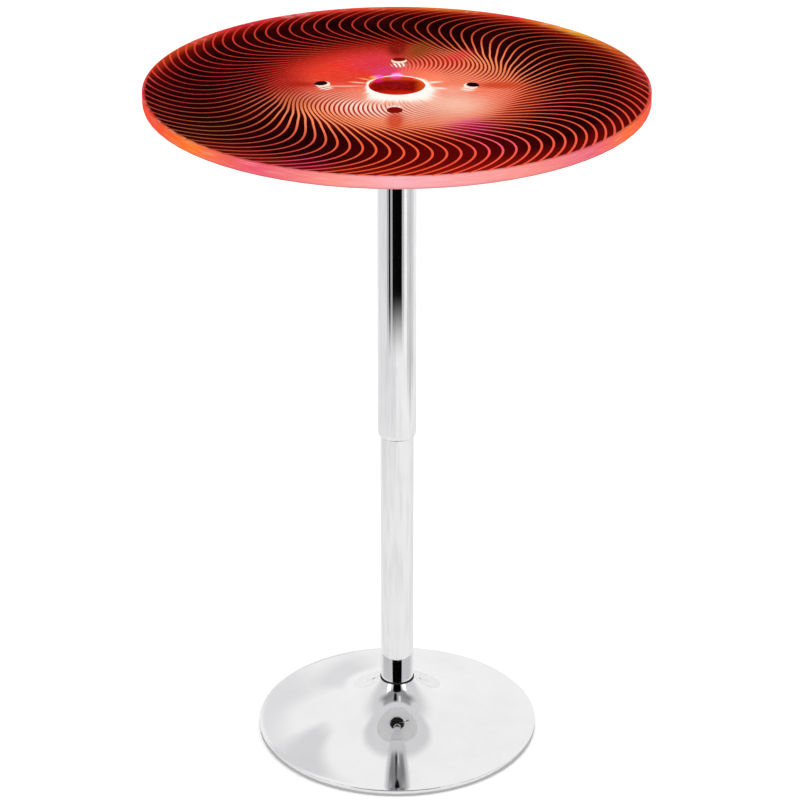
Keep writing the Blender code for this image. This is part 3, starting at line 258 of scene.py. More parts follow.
# Camera: place in metres, degrees below level, focal length and film in mm
CAMERA_PLACE = (0.0040, -3.6480, 2.2236)
CAMERA_DOWN = 25.28
CAMERA_LENS = 135.86
CAMERA_FILM = 36

# Strength of the world as a light, and as it is seen
WORLD_LIGHT = 0.62
WORLD_SEEN = 1.0
# The floor's own glow: (near, far, glow near, glow far), distances in metres
FLOOR_SIZE = 30
FLOOR_COLOUR = (0.80, 0.80, 0.80, 1)
FLOOR_SEEN = (1.2, 4.0, 0.34, 0.56)
FLOOR_MIRRORED = (0.8, 5.0, 0.12, 0.48)
# Lamps: (name, place, size in metres, watts)
LAMPS = (
    ("key", (-1.6, -1.8, 3.2), 1.8, 38),
    ("fill", (2.2, -0.8, 2.4), 2.2, 26),
    ("back", (0.2, 2.6, 2.8), 2.2, 24),
)
LAMP_AIM = Vector((0, 0, 0.45))

# Cards that only glossy rays see, with angles in degrees
# On the floor: (name, near, far, left, right, height, colour, fade)
FLOOR_CARDS = (
    ("camera_side_dark", 1.19, 9.0, -26, 29, 0.004, (6, 6, 6), 0.33),
    ("camera_side_edge", 1.19, 9.0, 29, 42, 0.004, (200, 200, 201), 0.33),
    ("camera_side_strip", 1.19, 9.0, -48, -37.5, 0.004, (14, 14, 14), 0.33),
    ("camera_side_haze", 1.19, 9.0, -60, -26, 0.003, (184, 184, 186), 0.33),
    ("left_side_haze", 0.70, 9.0, -130, -6, 0.002, (238, 238, 239), 0.35),
    ("right_side_haze", 0.95, 9.0, 60, 112, 0.002, (222, 222, 223), 0.30),
    ("right_side_line", 0.85, 9.0, 78, 90, 0.003, (206, 206, 207), 0.30),
    # The last floor card is a grey ring round the base's rim, seen only in gloss: a painted shadow line
    # along the foot of the rim
    ("rim_shadow_line", 0.194, 0.2015, -82, 88, 0.0006, (190, 190, 191), 0.001),
)
# Round the table: (name, turn, lift, width, height, colour, strength, soft edge, distance)
ROUND_CARDS = (
    ("camera_low", 180, 12, 66, 37, (3, 3, 3), 1.0, 0.06, 3.4),
    ("camera_neck", 180, 40, 44, 18, (3, 3, 3), 1.0, 0.25, 3.3),
    ("camera_high", 180, 62, 78, 42, (158, 158, 160), 1.0, 0.4, 3.2),
    ("camera_left", 128, 50, 62, 18, (140, 140, 141), 1.0, 0.95, 3.1),
    ("camera_right", 232, 50, 62, 18, (140, 140, 141), 1.0, 0.95, 3.1),
    ("camera_streak", 190, 55, 14, 24, (24, 24, 24), 1.0, 0.6, 3.0),
    ("camera_gleam", 166, 57, 9, 13, (228, 228, 229), 1.0, 0.5, 3.0),
    ("window_left", -132, 35, 17, 14, (255, 255, 255), 2.4, 0.2, 3.0),
    ("window_right", 136, 33, 15, 15, (255, 255, 255), 2.4, 0.2, 3.0),
    ("back_low", -8, 11, 14, 18, (234, 234, 235), 1.0, 0.7, 4.0),
    ("back_middle", -11, 27, 10, 30, (236, 236, 237), 1.0, 0.8, 4.0),
    ("back_left", -15, 40, 20, 12, (226, 226, 227), 1.0, 0.7, 4.0),
)
CARD_MIDDLE_LIFT = 0.05
SECTOR_STEPS = 24
RING_STEPS = 64
ROOM_STEPS = 48
ROOM_BASE = 0.3


def linear(colour):
    """Linear RGB of a screen colour."""
    out = []
    for part in colour:
        share = part / 255
        out.append(share / 12.92 if share <= 0.04045 else ((share + 0.055) / 1.055) ** 2.4)
    return (*out, 1.0)


def toned(shade, times=1.0, plus=0):
    """A screen colour made darker or paler."""
    return tuple(min(255, int(part * times) + plus) for part in shade)


def held(value):
    """A number held between 0 and 1."""
    return min(1.0, max(0.0, value))


def spot_at(degrees, share):
    """(x, y) of a place on the top by angle and by share of its radius."""
    turn = math.radians(degrees)
    return TOP_RADIUS * share * math.cos(turn), TOP_RADIUS * share * math.sin(turn)


def fixing_place(number, outwards=0.0):
    """(x, y) of the middle of a fixing, or of a place further out than it."""
    turn = FIXING_TURN + 2 * math.pi * number / FIXING_COUNT
    radius = FIXING_CIRCLE + outwards
    return radius * math.cos(turn), radius * math.sin(turn)


def numbered(name, count):
    """Names of nodes that are numbered from 1."""
    return [f"{name}_{number}" for number in range(1, count + 1)]


# Node helpers
class Nodes:
    """Small steps for writing the nodes of a material or world as sums."""

    def __init__(self, owner):
        owner.use_nodes = True
        self.owner = owner
        self.tree = owner.node_tree

    @cached_property
    def point(self):
        """The point in the object's own frame."""
        return self.new("ShaderNodeTexCoord").outputs["Object"]

    @cached_property
    def axes(self):
        """The x, y and z of that point."""
        split = self.new("ShaderNodeSeparateXYZ")
        self.put(split.inputs[0], self.point)
        return tuple(split.outputs)

    @property
    def x(self):
        return self.axes[0]

    @property
    def y(self):
        return self.axes[1]

    @property
    def z(self):
        return self.axes[2]

    @cached_property
    def length(self):
        """How far that point lies from the object's own middle."""
        node = self.new("ShaderNodeVectorMath")
        node.operation = "LENGTH"
        self.put(node.inputs[0], self.point)
        return node.outputs["Value"]

    @cached_property
    def radius(self):
        """Distance from the middle of the top, as a share of its radius."""
        return self.mul(self.distance((0.0, 0.0)), 1 / TOP_RADIUS)

    @cached_property
    def share(self):
        """Place round the top, as a share of a turn from -X."""
        turn = self.math("ARCTAN2", self.y, self.x)
        return self.add(self.mul(turn, 0.5 / math.pi), 0.5)

    def new(self, kind):
        return self.tree.nodes.new(kind)

    def put(self, socket, value):
        if isinstance(value, bpy.types.NodeSocket):
            self.tree.links.new(value, socket)
        else:
            socket.default_value = value

    def math(self, operation, *values):
        node = self.new("ShaderNodeMath")
        node.operation = operation
        for socket, value in zip(node.inputs, values):
            self.put(socket, value)
        return node.outputs[0]

    def add(self, a, b):
        return self.math("ADD", a, b)

    def sub(self, a, b):
        return self.math("SUBTRACT", a, b)

    def mul(self, a, b):
        return self.math("MULTIPLY", a, b)

    def ramp(self, value, low, high, start=0.0, end=1.0, kind="SMOOTHSTEP"):
        """Goes from start to end as value goes from low to high, smoothly unless kind is LINEAR."""
        node = self.new("ShaderNodeMapRange")
        node.interpolation_type = kind
        for number, item in enumerate((value, low, high, start, end)):
            self.put(node.inputs[number], item)
        return node.outputs[0]

    def mix(self, share, first, second):
        node = self.new("ShaderNodeMix")
        node.data_type = "RGBA"
        self.put(node.inputs[0], share)
        for socket, value in ((node.inputs[6], first), (node.inputs[7], second)):
            self.put(socket, value if isinstance(value, bpy.types.NodeSocket) else linear(value))
        return node.outputs[2]

    def vector(self, x=0.0, y=0.0, z=0.0):
        node = self.new("ShaderNodeCombineXYZ")
        for socket, value in zip(node.inputs, (x, y, z)):
            self.put(socket, value)
        return node.outputs[0]

    def distance(self, spot):
        """Distance in the XY plane from the point to a spot, in metres."""
        dx = self.sub(self.x, spot[0])
        dy = self.sub(self.y, spot[1])
        return self.math("SQRT", self.add(self.mul(dx, dx), self.mul(dy, dy)))

    def noise(self, vector, scale, detail=2.0, rough=0.5):
        node = self.new("ShaderNodeTexNoise")
        self.put(node.inputs["Vector"], vector)
        node.inputs["Scale"].default_value = scale
        node.inputs["Detail"].default_value = detail
        node.inputs["Roughness"].default_value = rough
        return node.outputs["Fac"]

    def wheel(self, stops, grey=False):
        """A colour, or a number where grey, by place round the top. Stops list (degrees, colour)."""
        node = self.new("ShaderNodeValToRGB")
        band = node.color_ramp
        band.interpolation = "EASE" if grey else "LINEAR"
        while len(band.elements) < len(stops):
            band.elements.new(1.0)
        for element, (angle, colour) in zip(band.elements, stops):
            element.position = (angle + 180) / 360
            element.color = (colour, colour, colour, 1.0) if grey else linear(colour)
        self.put(node.inputs[0], self.share)
        return node.outputs[0]

    def glow(self, spot, reach, strength=1.0):
        """A soft round glow: strength at its middle and nothing at its reach, in metres."""
        return self.ramp(self.distance(spot), reach, 0.0, 0.0, strength)

    def streak(self, spot, turn, size, strength):
        """A long soft glow: size is its half length and half width, turn its direction in degrees."""
        along, across = math.cos(math.radians(turn)), math.sin(math.radians(turn))
        dx = self.sub(self.x, spot[0])
        dy = self.sub(self.y, spot[1])
        u = self.mul(self.add(self.mul(dx, along), self.mul(dy, across)), 1 / size[0])
        v = self.mul(self.sub(self.mul(dy, along), self.mul(dx, across)), 1 / size[1])
        far = self.math("SQRT", self.add(self.mul(u, u), self.mul(v, v)))
        return self.ramp(far, 1.0, 0.0, 0.0, strength)

    def patches(self, colour, table):
        """Lays the round patches of a table over a colour."""
        for degrees, share, reach, shade, strength in table:
            colour = self.mix(self.glow(spot_at(degrees, share), reach, strength), colour, shade)
        return colour

    def bump(self, height, strength, depth):
        node = self.new("ShaderNodeBump")
        node.inputs["Strength"].default_value = strength
        node.inputs["Distance"].default_value = depth
        self.put(node.inputs["Height"], height)
        self.set(Normal=node.outputs[0])

    def set(self, **values):
        """Sets sockets of the material's shader; a colour is given as on screen."""
        shader = self.tree.nodes["Principled BSDF"]
        for name, value in values.items():
            if isinstance(value, tuple):
                value = linear(value)
            self.put(shader.inputs[name.replace("_", " ")], value)


def surface(name):
    """Nodes of a new material."""
    return Nodes(bpy.data.materials.new(name))


def bare_surface(name):
    """Nodes of a new material that has no shader yet."""
    made = surface(name)
    made.tree.nodes.clear()
    return made


# Mesh helpers
def added(name, data):
    """A new object in the scene."""
    made = bpy.data.objects.new(name, data)
    bpy.context.scene.collection.objects.link(made)
    return made


def piece(name, mesh, materials, body, replaced=(), sharp=35):
    """Puts a finished mesh in the scene on its body."""
    made = added(name, mesh)
    for material in materials:
        mesh.materials.append(material)
    mesh.shade_smooth()
    mesh.set_sharp_from_angle(angle=math.radians(sharp))
    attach(made, body)
    if replaced:
        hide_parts(*replaced)


def mesh_of(name, shape):
    """The mesh of a finished bmesh."""
    mesh = bpy.data.meshes.new(name)
    shape.to_mesh(mesh)
    shape.free()
    return mesh


def flat_mesh(name, half_width, half_height):
    """A flat rectangle, seen from +Z."""
    mesh = bpy.data.meshes.new(name)
    signs = ((-1, -1), (1, -1), (1, 1), (-1, 1))
    mesh.from_pydata([(a * half_width, b * half_height, 0) for a, b in signs], [], [(0, 1, 2, 3)])
    return mesh


def join_rows(shape, rows, closed=False):
    """Makes faces between each row of points and the next, and back to the first where closed."""
    for row, following in zip(rows, rows[1:] + rows[:1] if closed else rows[1:]):
        for column in range(len(row) - 1):
            corners = (row[column], row[column + 1], following[column + 1], following[column])
            shape.faces.new(tuple(dict.fromkeys(corners)))


def circle(shape, radius, height, count, middle=(0.0, 0.0)):
    """A level circle of points, with its first point again at the end."""
    ring = []
    for step in range(count):
        turn = 2 * math.pi * step / count
        place = (middle[0] + radius * math.cos(turn), middle[1] + radius * math.sin(turn), height)
        ring.append(shape.verts.new(place))
    return ring + ring[:1]


def turned(name, profile, segments):
    """A closed loop of (radius, height) points turned about Z."""
    shape = bmesh.new()
    rings = [circle(shape, radius, height, segments) for radius, height in profile]
    join_rows(shape, rings, closed=True)
    return mesh_of(name, shape)


def turned_piece(name, profile, segments, material, body, node):
    """A turned piece that stands for one CAD node."""
    piece(name, turned(name, profile, segments), [material], body, [node])


def corner(centre, radius, start, end, steps):
    """Points round a rounded corner, angles in degrees."""
    turns = [math.radians(start + (end - start) * step / steps) for step in range(steps + 1)]
    return [(centre[0] + radius * math.cos(turn), centre[1] + radius * math.sin(turn)) for turn in turns]


# Plain materials
def chrome(name, shade=(238, 238, 239), rough=0.035, ripple=0.0, streak_depth=0):
    """Bright chrome; the last argument is how much faint streaks along Z darken it, of 255."""
    made = surface(name)
    smear = made.noise(made.point, 22.0, 4.0, 0.6)
    colour = made.mix(made.ramp(smear, 0.35, 0.75), shade, toned(shade, plus=-4))
    if streak_depth:
        along = made.vector(*(made.mul(axis, count) for axis, count in zip(made.axes, STREAK_REPEATS)))
        streaks = made.ramp(made.noise(along, 1.0, 2.0, 0.6), 0.42, 0.72)
        colour = made.mix(streaks, colour, toned(shade, plus=-streak_depth))
    made.set(Base_Color=colour, Metallic=1.0)
    made.set(Roughness=made.add(rough, made.mul(made.ramp(smear, 0.45, 0.8), 0.03)))
    waves = made.mul(made.noise(made.point, 9.0, 1.0), ripple)
    fine = made.mul(made.noise(made.point, 900.0, 2.0), 0.02)
    made.bump(made.add(waves, fine), 0.25, 0.0004)
    return made.owner


def satin_steel(name, shade, rough=0.34):
    """Plated or ground steel with a fine grain."""
    made = surface(name)
    cloud = made.noise(made.point, 70.0, 3.0)
    made.set(Base_Color=made.mix(cloud, shade, toned(shade, 0.84)), Metallic=1.0)
    made.set(Roughness=made.add(rough, made.mul(cloud, 0.12)))
    made.bump(made.noise(made.point, 1400.0, 2.0), 0.3, 0.0002)
    return made.owner


def powder_coat(name, shade):
    """Baked paint with a fine orange peel."""
    made = surface(name)
    peel = made.noise(made.point, 650.0, 3.0, 0.6)
    cloud = made.noise(made.point, 30.0, 2.0)
    made.set(Base_Color=made.mix(cloud, shade, toned(shade, plus=10)))
    made.set(Roughness=made.add(0.36, made.mul(peel, 0.16)), Specular_IOR_Level=0.15)
    made.bump(peel, 0.35, 0.0004)
    return made.owner


def moulded(name, shade, rough, grain=0.3):
    """Plastic or rubber from a fine-grained mould."""
    made = surface(name)
    cloud = made.noise(made.point, 45.0, 2.0)
    made.set(Base_Color=made.mix(cloud, shade, toned(shade, 0.92, 6)))
    made.set(Roughness=made.add(rough, made.mul(cloud, 0.08)))
    made.bump(made.noise(made.point, 1100.0, 2.0), grain, 0.0002)
    return made.owner


def cell_wrap(name):
    """Dark film round the cells, with a copper band at their ends."""
    made = surface(name)
    band = made.ramp(made.math("ABSOLUTE", made.x), *CELL_ENDS)
    made.set(Base_Color=made.mix(band, (38, 40, 46), (176, 132, 74)), Metallic=0.6)
    made.set(Roughness=made.add(0.28, made.mul(made.noise(made.point, 300.0), 0.1)))
    return made.owner


def lamp_board(name):
    """Green board with faint tracks, and lit lamps on its upper side."""
    made = surface(name)
    lamp = made.ramp(made.z, *BOARD_TOP)
    tracks = made.ramp(made.noise(made.point, 420.0, 1.0), 0.52, 0.56)
    green = made.mix(tracks, (20, 84, 44), (28, 108, 58))
    made.set(Base_Color=made.mix(lamp, green, (255, 240, 220)), Roughness=0.4)
    made.set(Emission_Color=made.mix(lamp, BLACK, (255, 90, 70)), Emission_Strength=0.8)
    made.bump(tracks, 0.4, 0.0002)
    return made.owner


def barrel(name):
    """Bright barrels of the fixings."""
    made = surface(name)
    cloud = made.noise(made.point, 260.0, 2.0)
    made.set(Base_Color=made.mix(cloud, (226, 226, 228), (206, 206, 208)), Metallic=1.0, Roughness=0.16)
    return made.owner


# Lit materials, on which the light and shade from the middle are painted as glow
def lit(made, colour, base=(6, 1, 1), rough=0.16, strength=1.0):
    """Ends a material that glows in a colour over a dark base."""
    made.set(Base_Color=base, Roughness=rough, Specular_IOR_Level=0.0)
    made.set(Emission_Color=colour, Emission_Strength=strength)
    return made.owner


def haze_share(made):
    """How much painted haze lies over a place, and how much painted deep red glow under it."""
    reach = made.wheel(REACH, grey=True)
    fill = made.math("MAXIMUM", made.wheel(FILL, grey=True), made.ramp(made.radius, 0.31, 0.17))
    pale = made.mul(made.ramp(made.radius, reach, made.sub(reach, 0.17)), fill)
    deep_glow = made.ramp(made.radius, made.add(reach, 0.13), made.sub(reach, 0.12))
    return pale, deep_glow


def haze_colour(made):
    """The colour of the haze at a place, with its patches and fine streaks."""
    colour = made.patches(made.wheel(HAZE), HAZE_PATCHES)
    grain = made.vector(made.mul(made.x, HAZE_REPEATS[0]), made.mul(made.y, HAZE_REPEATS[1]))
    fine = made.noise(grain, 1.0, 2.0, 0.6)
    ahead = made.ramp(made.y, 0.01, -0.03, 0.25, 1.0)
    colour = made.mix(made.mul(made.ramp(fine, 0.50, 0.72, 0.0, 0.34), ahead), colour, (255, 214, 196))
    return made.mix(made.mul(made.ramp(fine, 0.50, 0.28, 0.0, 0.24), ahead), colour, (226, 84, 62))


def hot_light(made, colour):
    """The shadows of the fixings, the sparks and the white-hot light round the hole."""
    for degrees, share, size, shade, strength in STREAKS:
        shape = made.streak(spot_at(degrees, share), degrees, size, strength)
        colour = made.mix(made.math("MINIMUM", shape, STREAK_MOST), colour, shade)
    rays = made.noise(made.vector(made.mul(made.share, RAY_REPEATS)), 1.0, 2.0, 0.6)
    hot = made.mul(made.wheel(HOT, grey=True), made.ramp(rays, 0.3, 0.7, 0.82, 1.22))
    for outer, inner, strength, shade in ((2.0, 0.9, 0.75, (255, 200, 172)), (1.35, 0.62, 1.0, WHITE_HOT)):
        far = made.add(HOLE_SHARE, made.mul(hot, outer))
        near = made.add(HOLE_SHARE, made.mul(hot, inner))
        colour = made.mix(made.ramp(made.radius, far, near, 0.0, strength), colour, shade)
    return made.patches(colour, GLINTS_BEHIND_HOLE)


def hole_wall(made, colour):
    """The wall of the middle hole glows red and orange, with two pink places at the back."""
    cloud = made.noise(made.point, 90.0, 3.0, 0.6)
    wall = made.mix(made.ramp(cloud, 0.35, 0.65), (206, 30, 14), (244, 92, 40))
    wall = made.patches(wall, HOLE_WALL_PATCHES)
    low = made.ramp(made.z, *(TABLE_HEIGHT - depth for depth in WALL_DEPTHS))
    return made.mix(made.mul(low, made.ramp(made.radius, *WALL_SHARES)), colour, wall)


def fixing_light(made, colour):
    """The lit barrel beside each fixing, on the side that faces the middle and the front."""
    for number, (inwards, ahead) in enumerate(BESIDE_FIXING):
        x, y = fixing_place(number, -inwards)
        for reach, strength, shade in ((0.0145, 1.0, (255, 206, 140)), (0.0120, 2.2, WHITE_HOT)):
            colour = made.mix(made.glow((x, y - ahead), reach, strength), colour, shade)
    return colour


def rim_colour(made):
    """The lit rim: a colour by place round the top, with fine streaks along it."""
    stretch = made.vector(x=made.mul(made.share, RIM_REPEATS[0]), z=made.mul(made.z, RIM_REPEATS[1]))
    streaks = made.noise(stretch, 1.0, 3.0, 0.6)
    colour = made.mix(made.ramp(streaks, 0.50, 0.72, 0.0, 0.35), made.wheel(RIM), (255, 214, 204))
    return made.mix(made.ramp(streaks, 0.50, 0.28, 0.0, 0.30), colour, (226, 84, 76))


def at_back(made, low, high):
    """One at the rim behind the hole, from low to high as shares of the top's radius."""
    return made.mul(made.ramp(made.radius, low, high), made.ramp(made.y, -0.03, 0.09))


def edge_glow(made, colour):
    """The light that gathers along the rim, strongest along the far wall."""
    strength = made.wheel(EDGE, grey=True)
    near_edge = made.mul(made.ramp(made.radius, 0.85, 0.98, 0.0, 0.82), strength)
    colour = made.mix(near_edge, colour, EDGE_GLOW_RED)
    wall = made.mul(at_back(made, 0.935, 0.992), strength)
    line = made.ramp(made.radius, 0.984, 0.995, 0.0, 0.75)
    return made.mix(made.math("MAXIMUM", wall, line), colour, rim_colour(made))


def top_face(name):
    """The upper and lower face of the acrylic, and the wall of its hole, with the light from the middle,
    its haze, shadows and highlights painted on as glow.
    """
    made = surface(name)
    colour = made.mix(made.ramp(made.noise(made.point, 26.0, 3.0), 0.35, 0.7), INK, INK_RED)
    colour = made.patches(colour, DIM_GLOW_PATCH)
    pale, deep_glow = haze_share(made)
    colour = made.mix(made.mul(deep_glow, made.wheel(DEEP_GLOW, grey=True)), colour, DEEP_GLOW_RED)
    colour = made.mix(pale, colour, haze_colour(made))
    colour = made.patches(colour, FRONT_GLOW_PATCH)
    colour = hot_light(made, colour)
    colour = fixing_light(made, colour)
    colour = hole_wall(made, colour)
    return lit(made, edge_glow(made, colour))


def engraved(name):
    """The engraved lines, glowing with painted light: dull outside, bright towards the hole, lost in the
    haze behind it.
    """
    made = surface(name)
    colour = made.patches(made.wheel(LINE_GLOW), OUTER_LINE_PATCHES)
    bright = made.mul(made.ramp(made.radius, 0.80, 0.52), made.wheel(BRIGHT, grey=True))
    colour = made.mix(bright, colour, made.mix(made.ramp(made.radius, 0.48, 0.68), PEACH, ORANGE))
    colour = made.patches(colour, INNER_LINE_PATCHES)
    near = made.mul(made.ramp(made.radius, 0.44, 0.28), made.wheel(PALE_SHARE, grey=True))
    colour = made.mix(near, colour, PALE)
    pale = haze_share(made)[0]
    colour = made.mix(made.mul(pale, 0.86), colour, made.mix(0.12, haze_colour(made), (255, 236, 220)))
    dim = made.mul(made.ramp(made.radius, 0.66, 0.48, 0.0, 0.80), made.wheel(QUIET, grey=True))
    colour = hot_light(made, made.mix(dim, colour, (196, 36, 28)))
    # Fine paler specks in the painted glow of the lines
    grain = made.noise(made.point, 300.0, 2.0)
    colour = made.mix(made.ramp(grain, 0.5, 0.75, 0.0, 0.10), colour, (255, 180, 140))
    return lit(made, made.mix(at_back(made, 0.925, 0.985), colour, rim_colour(made)))


def rim_side(name):
    """The acrylic's edge, glowing with the painted light of the rim, a little paler along its foot."""
    made = surface(name)
    foot = made.ramp(made.z, TOP_BASE + 0.0035, TOP_BASE, 0.0, 0.25)
    colour = made.mix(foot, rim_colour(made), (232, 120, 112))
    return lit(made, colour, base=(40, 8, 8), rough=0.2, strength=0.97)


def backing(name):
    """Pale satin sheet, with a darker lit edge."""
    made = surface(name)
    edge = made.ramp(made.radius, 0.9955, 0.9975)
    under = made.mix(made.noise(made.point, 12.0, 3.0), (226, 226, 227), (236, 236, 236))
    made.set(Base_Color=made.mix(edge, under, (90, 30, 30)), Roughness=0.42)
    rim = made.mix(0.42, made.wheel(RIM), (150, 60, 66))
    made.set(Emission_Color=made.mix(edge, BLACK, rim), Emission_Strength=0.9)
    made.bump(made.noise(made.point, 800.0, 2.0), 0.15, 0.0002)
    return made.owner


def lens(name):
    """Dark red cap that glows with painted light: orange in front, behind and at the right, with two pink
    places.
    """
    made = surface(name)
    mottle = made.noise(made.point, 120.0, 3.0, 0.6)
    colour = made.mix(made.ramp(mottle, 0.30, 0.70), (116, 8, 6), (162, 20, 12))
    colour = made.mix(made.glow((0.000, 0.008), 0.022, 0.40), colour, (150, 14, 40))
    colour = made.mix(made.ramp(made.y, -0.010, -0.032, 0.0, 0.90), colour, (222, 38, 18))
    colour = made.mix(made.ramp(made.y, 0.014, 0.030, 0.0, 0.80), colour, (236, 66, 26))
    colour = made.mix(made.glow((-0.024, 0.020), 0.011, 0.9), colour, (226, 34, 110))
    colour = made.mix(made.glow((-0.002, 0.033), 0.010, 0.9), colour, (236, 60, 150))
    colour = made.mix(made.ramp(made.x, 0.020, 0.034, 0.0, 0.90), colour, (222, 80, 18))
    colour = made.mix(made.ramp(made.x, -0.026, -0.034, 0.0, 0.60), colour, (170, 28, 6))
    made.bump(mottle, 0.2, 0.0003)
    return lit(made, colour, base=(16, 1, 1), rough=0.3, strength=0.95)


def lit_case(name):
    """Clear plastic, its upper edge lit white in front and red behind."""
    made = surface(name)
    upper = made.ramp(made.z, TABLE_HEIGHT - 0.0040, TABLE_HEIGHT - 0.0025)
    made.set(Base_Color=made.mix(upper, (240, 226, 224), (20, 2, 2)), Roughness=0.2)
    made.set(Transmission_Weight=made.mul(made.sub(1.0, upper), 0.7))
    behind = made.ramp(made.y, 0.004, 0.016)
    made.set(Emission_Color=made.mix(behind, (255, 246, 236), (236, 84, 42)), Emission_Strength=upper)
    return made.owner


def bolt_head(name):
    """Dark plugs: nearly black at the sides, with a painted dark red glow on those in front and behind,
    and a painted lit edge along their front.
    """
    made = surface(name)
    # Painted dark red glow on the heads in front of and behind the hole
    ahead = made.ramp(made.math("ABSOLUTE", made.y), 0.04, 0.06)
    colour = made.mix(ahead, (14, 1, 2), (132, 12, 8))
    cloud = made.noise(made.point, 400.0, 2.0)
    colour = made.mix(made.ramp(cloud, 0.5, 0.8, 0.0, 0.3), colour, (96, 14, 12))
    gaps = []
    for number, (outwards, back, share) in enumerate(HEAD_MIDDLE):
        x, y = fixing_place(number, outwards)
        gaps.append(made.mul(made.distance((x, y + back)), share))
    away = gaps[0]
    for gap in gaps[1:]:
        away = made.math("MINIMUM", away, gap)
    # Painted lit edge round each head's unlit middle
    colour = made.mix(made.ramp(away, 0.0082, 0.0102), colour, (255, 238, 214))
    return lit(made, colour, base=(12, 1, 1), rough=0.3, strength=0.95)


# The lit top
def bow(share, degrees, bend, middle):
    return degrees + bend * (share - middle) ** 2


def swirl_offset(share):
    """Turn of a line, in degrees, at a share of the top's radius."""
    inner = bow(share, *INNER_BOW)
    outer = bow(share, *OUTER_BOW)
    along = held((share - BOW_CHANGE[0]) / BOW_CHANGE[1])
    ease = along * along * (3 - 2 * along)
    return inner + (outer - inner) * ease


def line_half(share, turn):
    """Half the width of a line at a share of the radius and a turn from +X."""
    half = LINE_HALF + LINE_WIDER_OUT * min(1.0, share / LINE_OUTER_SHARE)
    started = held((share - BRIGHT_START[0]) / BRIGHT_START[1])
    not_ended = held((BRIGHT_END[0] - share) / BRIGHT_END[1])
    at_place = LINE_AT_SIDES - LINE_AT_FRONT * math.sin(turn)
    return half * at_place + LINE_WIDER_BRIGHT * started * not_ended


def line_rows(shape, first, shares):
    """The points of one line in rows of three, its ridge in the middle."""
    turns = [math.radians(first + swirl_offset(share)) for share in shares]
    places = []
    for share, turn in zip(shares, turns):
        places.append(Vector((math.cos(turn), math.sin(turn), 0)) * share * TOP_RADIUS)
    foot = Vector((0, 0, TABLE_HEIGHT + LINE_LIFT))
    ridge = Vector((0, 0, TABLE_HEIGHT + LINE_RIDGE))
    rows = []
    for step, spot in enumerate(places):
        way = (places[min(step + 1, LINE_STEPS)] - places[max(step - 1, 0)]).normalized()
        side = Vector((-way.y, way.x, 0)) * line_half(shares[step], turns[step])
        row = (spot + side + foot, spot + ridge, spot - side + foot)
        rows.append([shape.verts.new(place) for place in row])
    return rows


def make_lines(material):
    """Fine raised lines, each swinging the same way from the hole to the rim."""
    shape = bmesh.new()
    reach = LINE_LAST - LINE_FIRST
    shares = [LINE_FIRST + reach * (step / LINE_STEPS) for step in range(LINE_STEPS + 1)]
    for number in range(LINE_COUNT):
        join_rows(shape, line_rows(shape, number * 360 / LINE_COUNT + LINE_START, shares))
    bmesh.ops.recalc_face_normals(shape, faces=shape.faces)
    for face in shape.faces:
        if face.normal.z < 0:
            face.normal_flip()
    piece("swirl_lines", mesh_of("swirl_lines", shape), [material], "lift", sharp=80)


def fixing_cutter():
    """Four upright pegs, where the holes of the fixings go."""
    shape = bmesh.new()
    for number in range(FIXING_COUNT):
        middle = fixing_place(number)
        low = circle(shape, FIXING_HOLE, TOP_BASE - CUTTER_SPARE, HOLE_SEGMENTS, middle)
        high = circle(shape, FIXING_HOLE, TABLE_HEIGHT + CUTTER_SPARE, HOLE_SEGMENTS, middle)
        shape.faces.new(low[-2::-1])
        shape.faces.new(high[:-1])
        join_rows(shape, [low, high])
    return mesh_of("hole_cutter", shape)


def cut_out(mesh, cutter_mesh):
    """A mesh less the solids of another."""
    holder = added("holder", mesh)
    cutter = added("hole_cutter", cutter_mesh)
    cut = holder.modifiers.new("holes", "BOOLEAN")
    cut.operation = "DIFFERENCE"
    cut.solver = "EXACT"
    cut.object = cutter
    bpy.context.view_layer.update()
    seen_by = bpy.context.evaluated_depsgraph_get()
    finished = bpy.data.meshes.new_from_object(holder.evaluated_get(seen_by))
    for thing in (holder, cutter):
        bpy.data.objects.remove(thing, do_unlink=True)
    return finished


def make_top(face, side, under):
    """The acrylic disc with its holes, finer than the CAD solid."""
    inset = TOP_RADIUS - TOP_EDGE
    profile = [(HOLE_RADIUS, TOP_BASE)]
    profile += corner((inset, TOP_BASE + TOP_EDGE), TOP_EDGE, -90, 0, TOP_EDGE_STEPS)
    profile += corner((inset, TABLE_HEIGHT - TOP_EDGE), TOP_EDGE, 0, 90, TOP_EDGE_STEPS)
    profile += [(HOLE_RADIUS, TABLE_HEIGHT)]
    disc = cut_out(turned("whole_disc", profile, TOP_SEGMENTS), fixing_cutter())
    disc.name = "acrylic_disc"
    piece("acrylic_disc", disc, [face, side, under], "lift", ["tabletop"])
    for polygon in disc.polygons:
        at_rim = math.hypot(polygon.center.x, polygon.center.y) > TOP_RADIUS / 2
        if polygon.normal.z < -LEVEL_ENOUGH:
            polygon.material_index = UNDER_SLOT
        elif polygon.normal.z > LEVEL_ENOUGH or not at_rim:
            polygon.material_index = FACE_SLOT
        else:
            polygon.material_index = SIDE_SLOT


# Column and base
FLARE_RISE = NECK_HEIGHT - RIM_TOP + FLARE_SHARE * (SHELL_RADIUS - NECK_RADIUS)
FLARE = FLARE_RISE / math.log(SHELL_RADIUS / NECK_RADIUS)


def shell_height(radius):
    """Height of the shell's upper side."""
    return RIM_TOP + FLARE * math.log(SHELL_RADIUS / radius) - FLARE_SHARE * (SHELL_RADIUS - radius)


def shell_under(radius):
    """Height of the shell's under side."""
    slope = FLARE_SHARE - FLARE / radius
    return shell_height(radius) - SHELL_WALL * math.hypot(1, slope)


def spread(start, end, steps):
    """Radii from start to end, closer together where they are small."""
    return [start * (end / start) ** (step / steps) for step in range(steps + 1)]


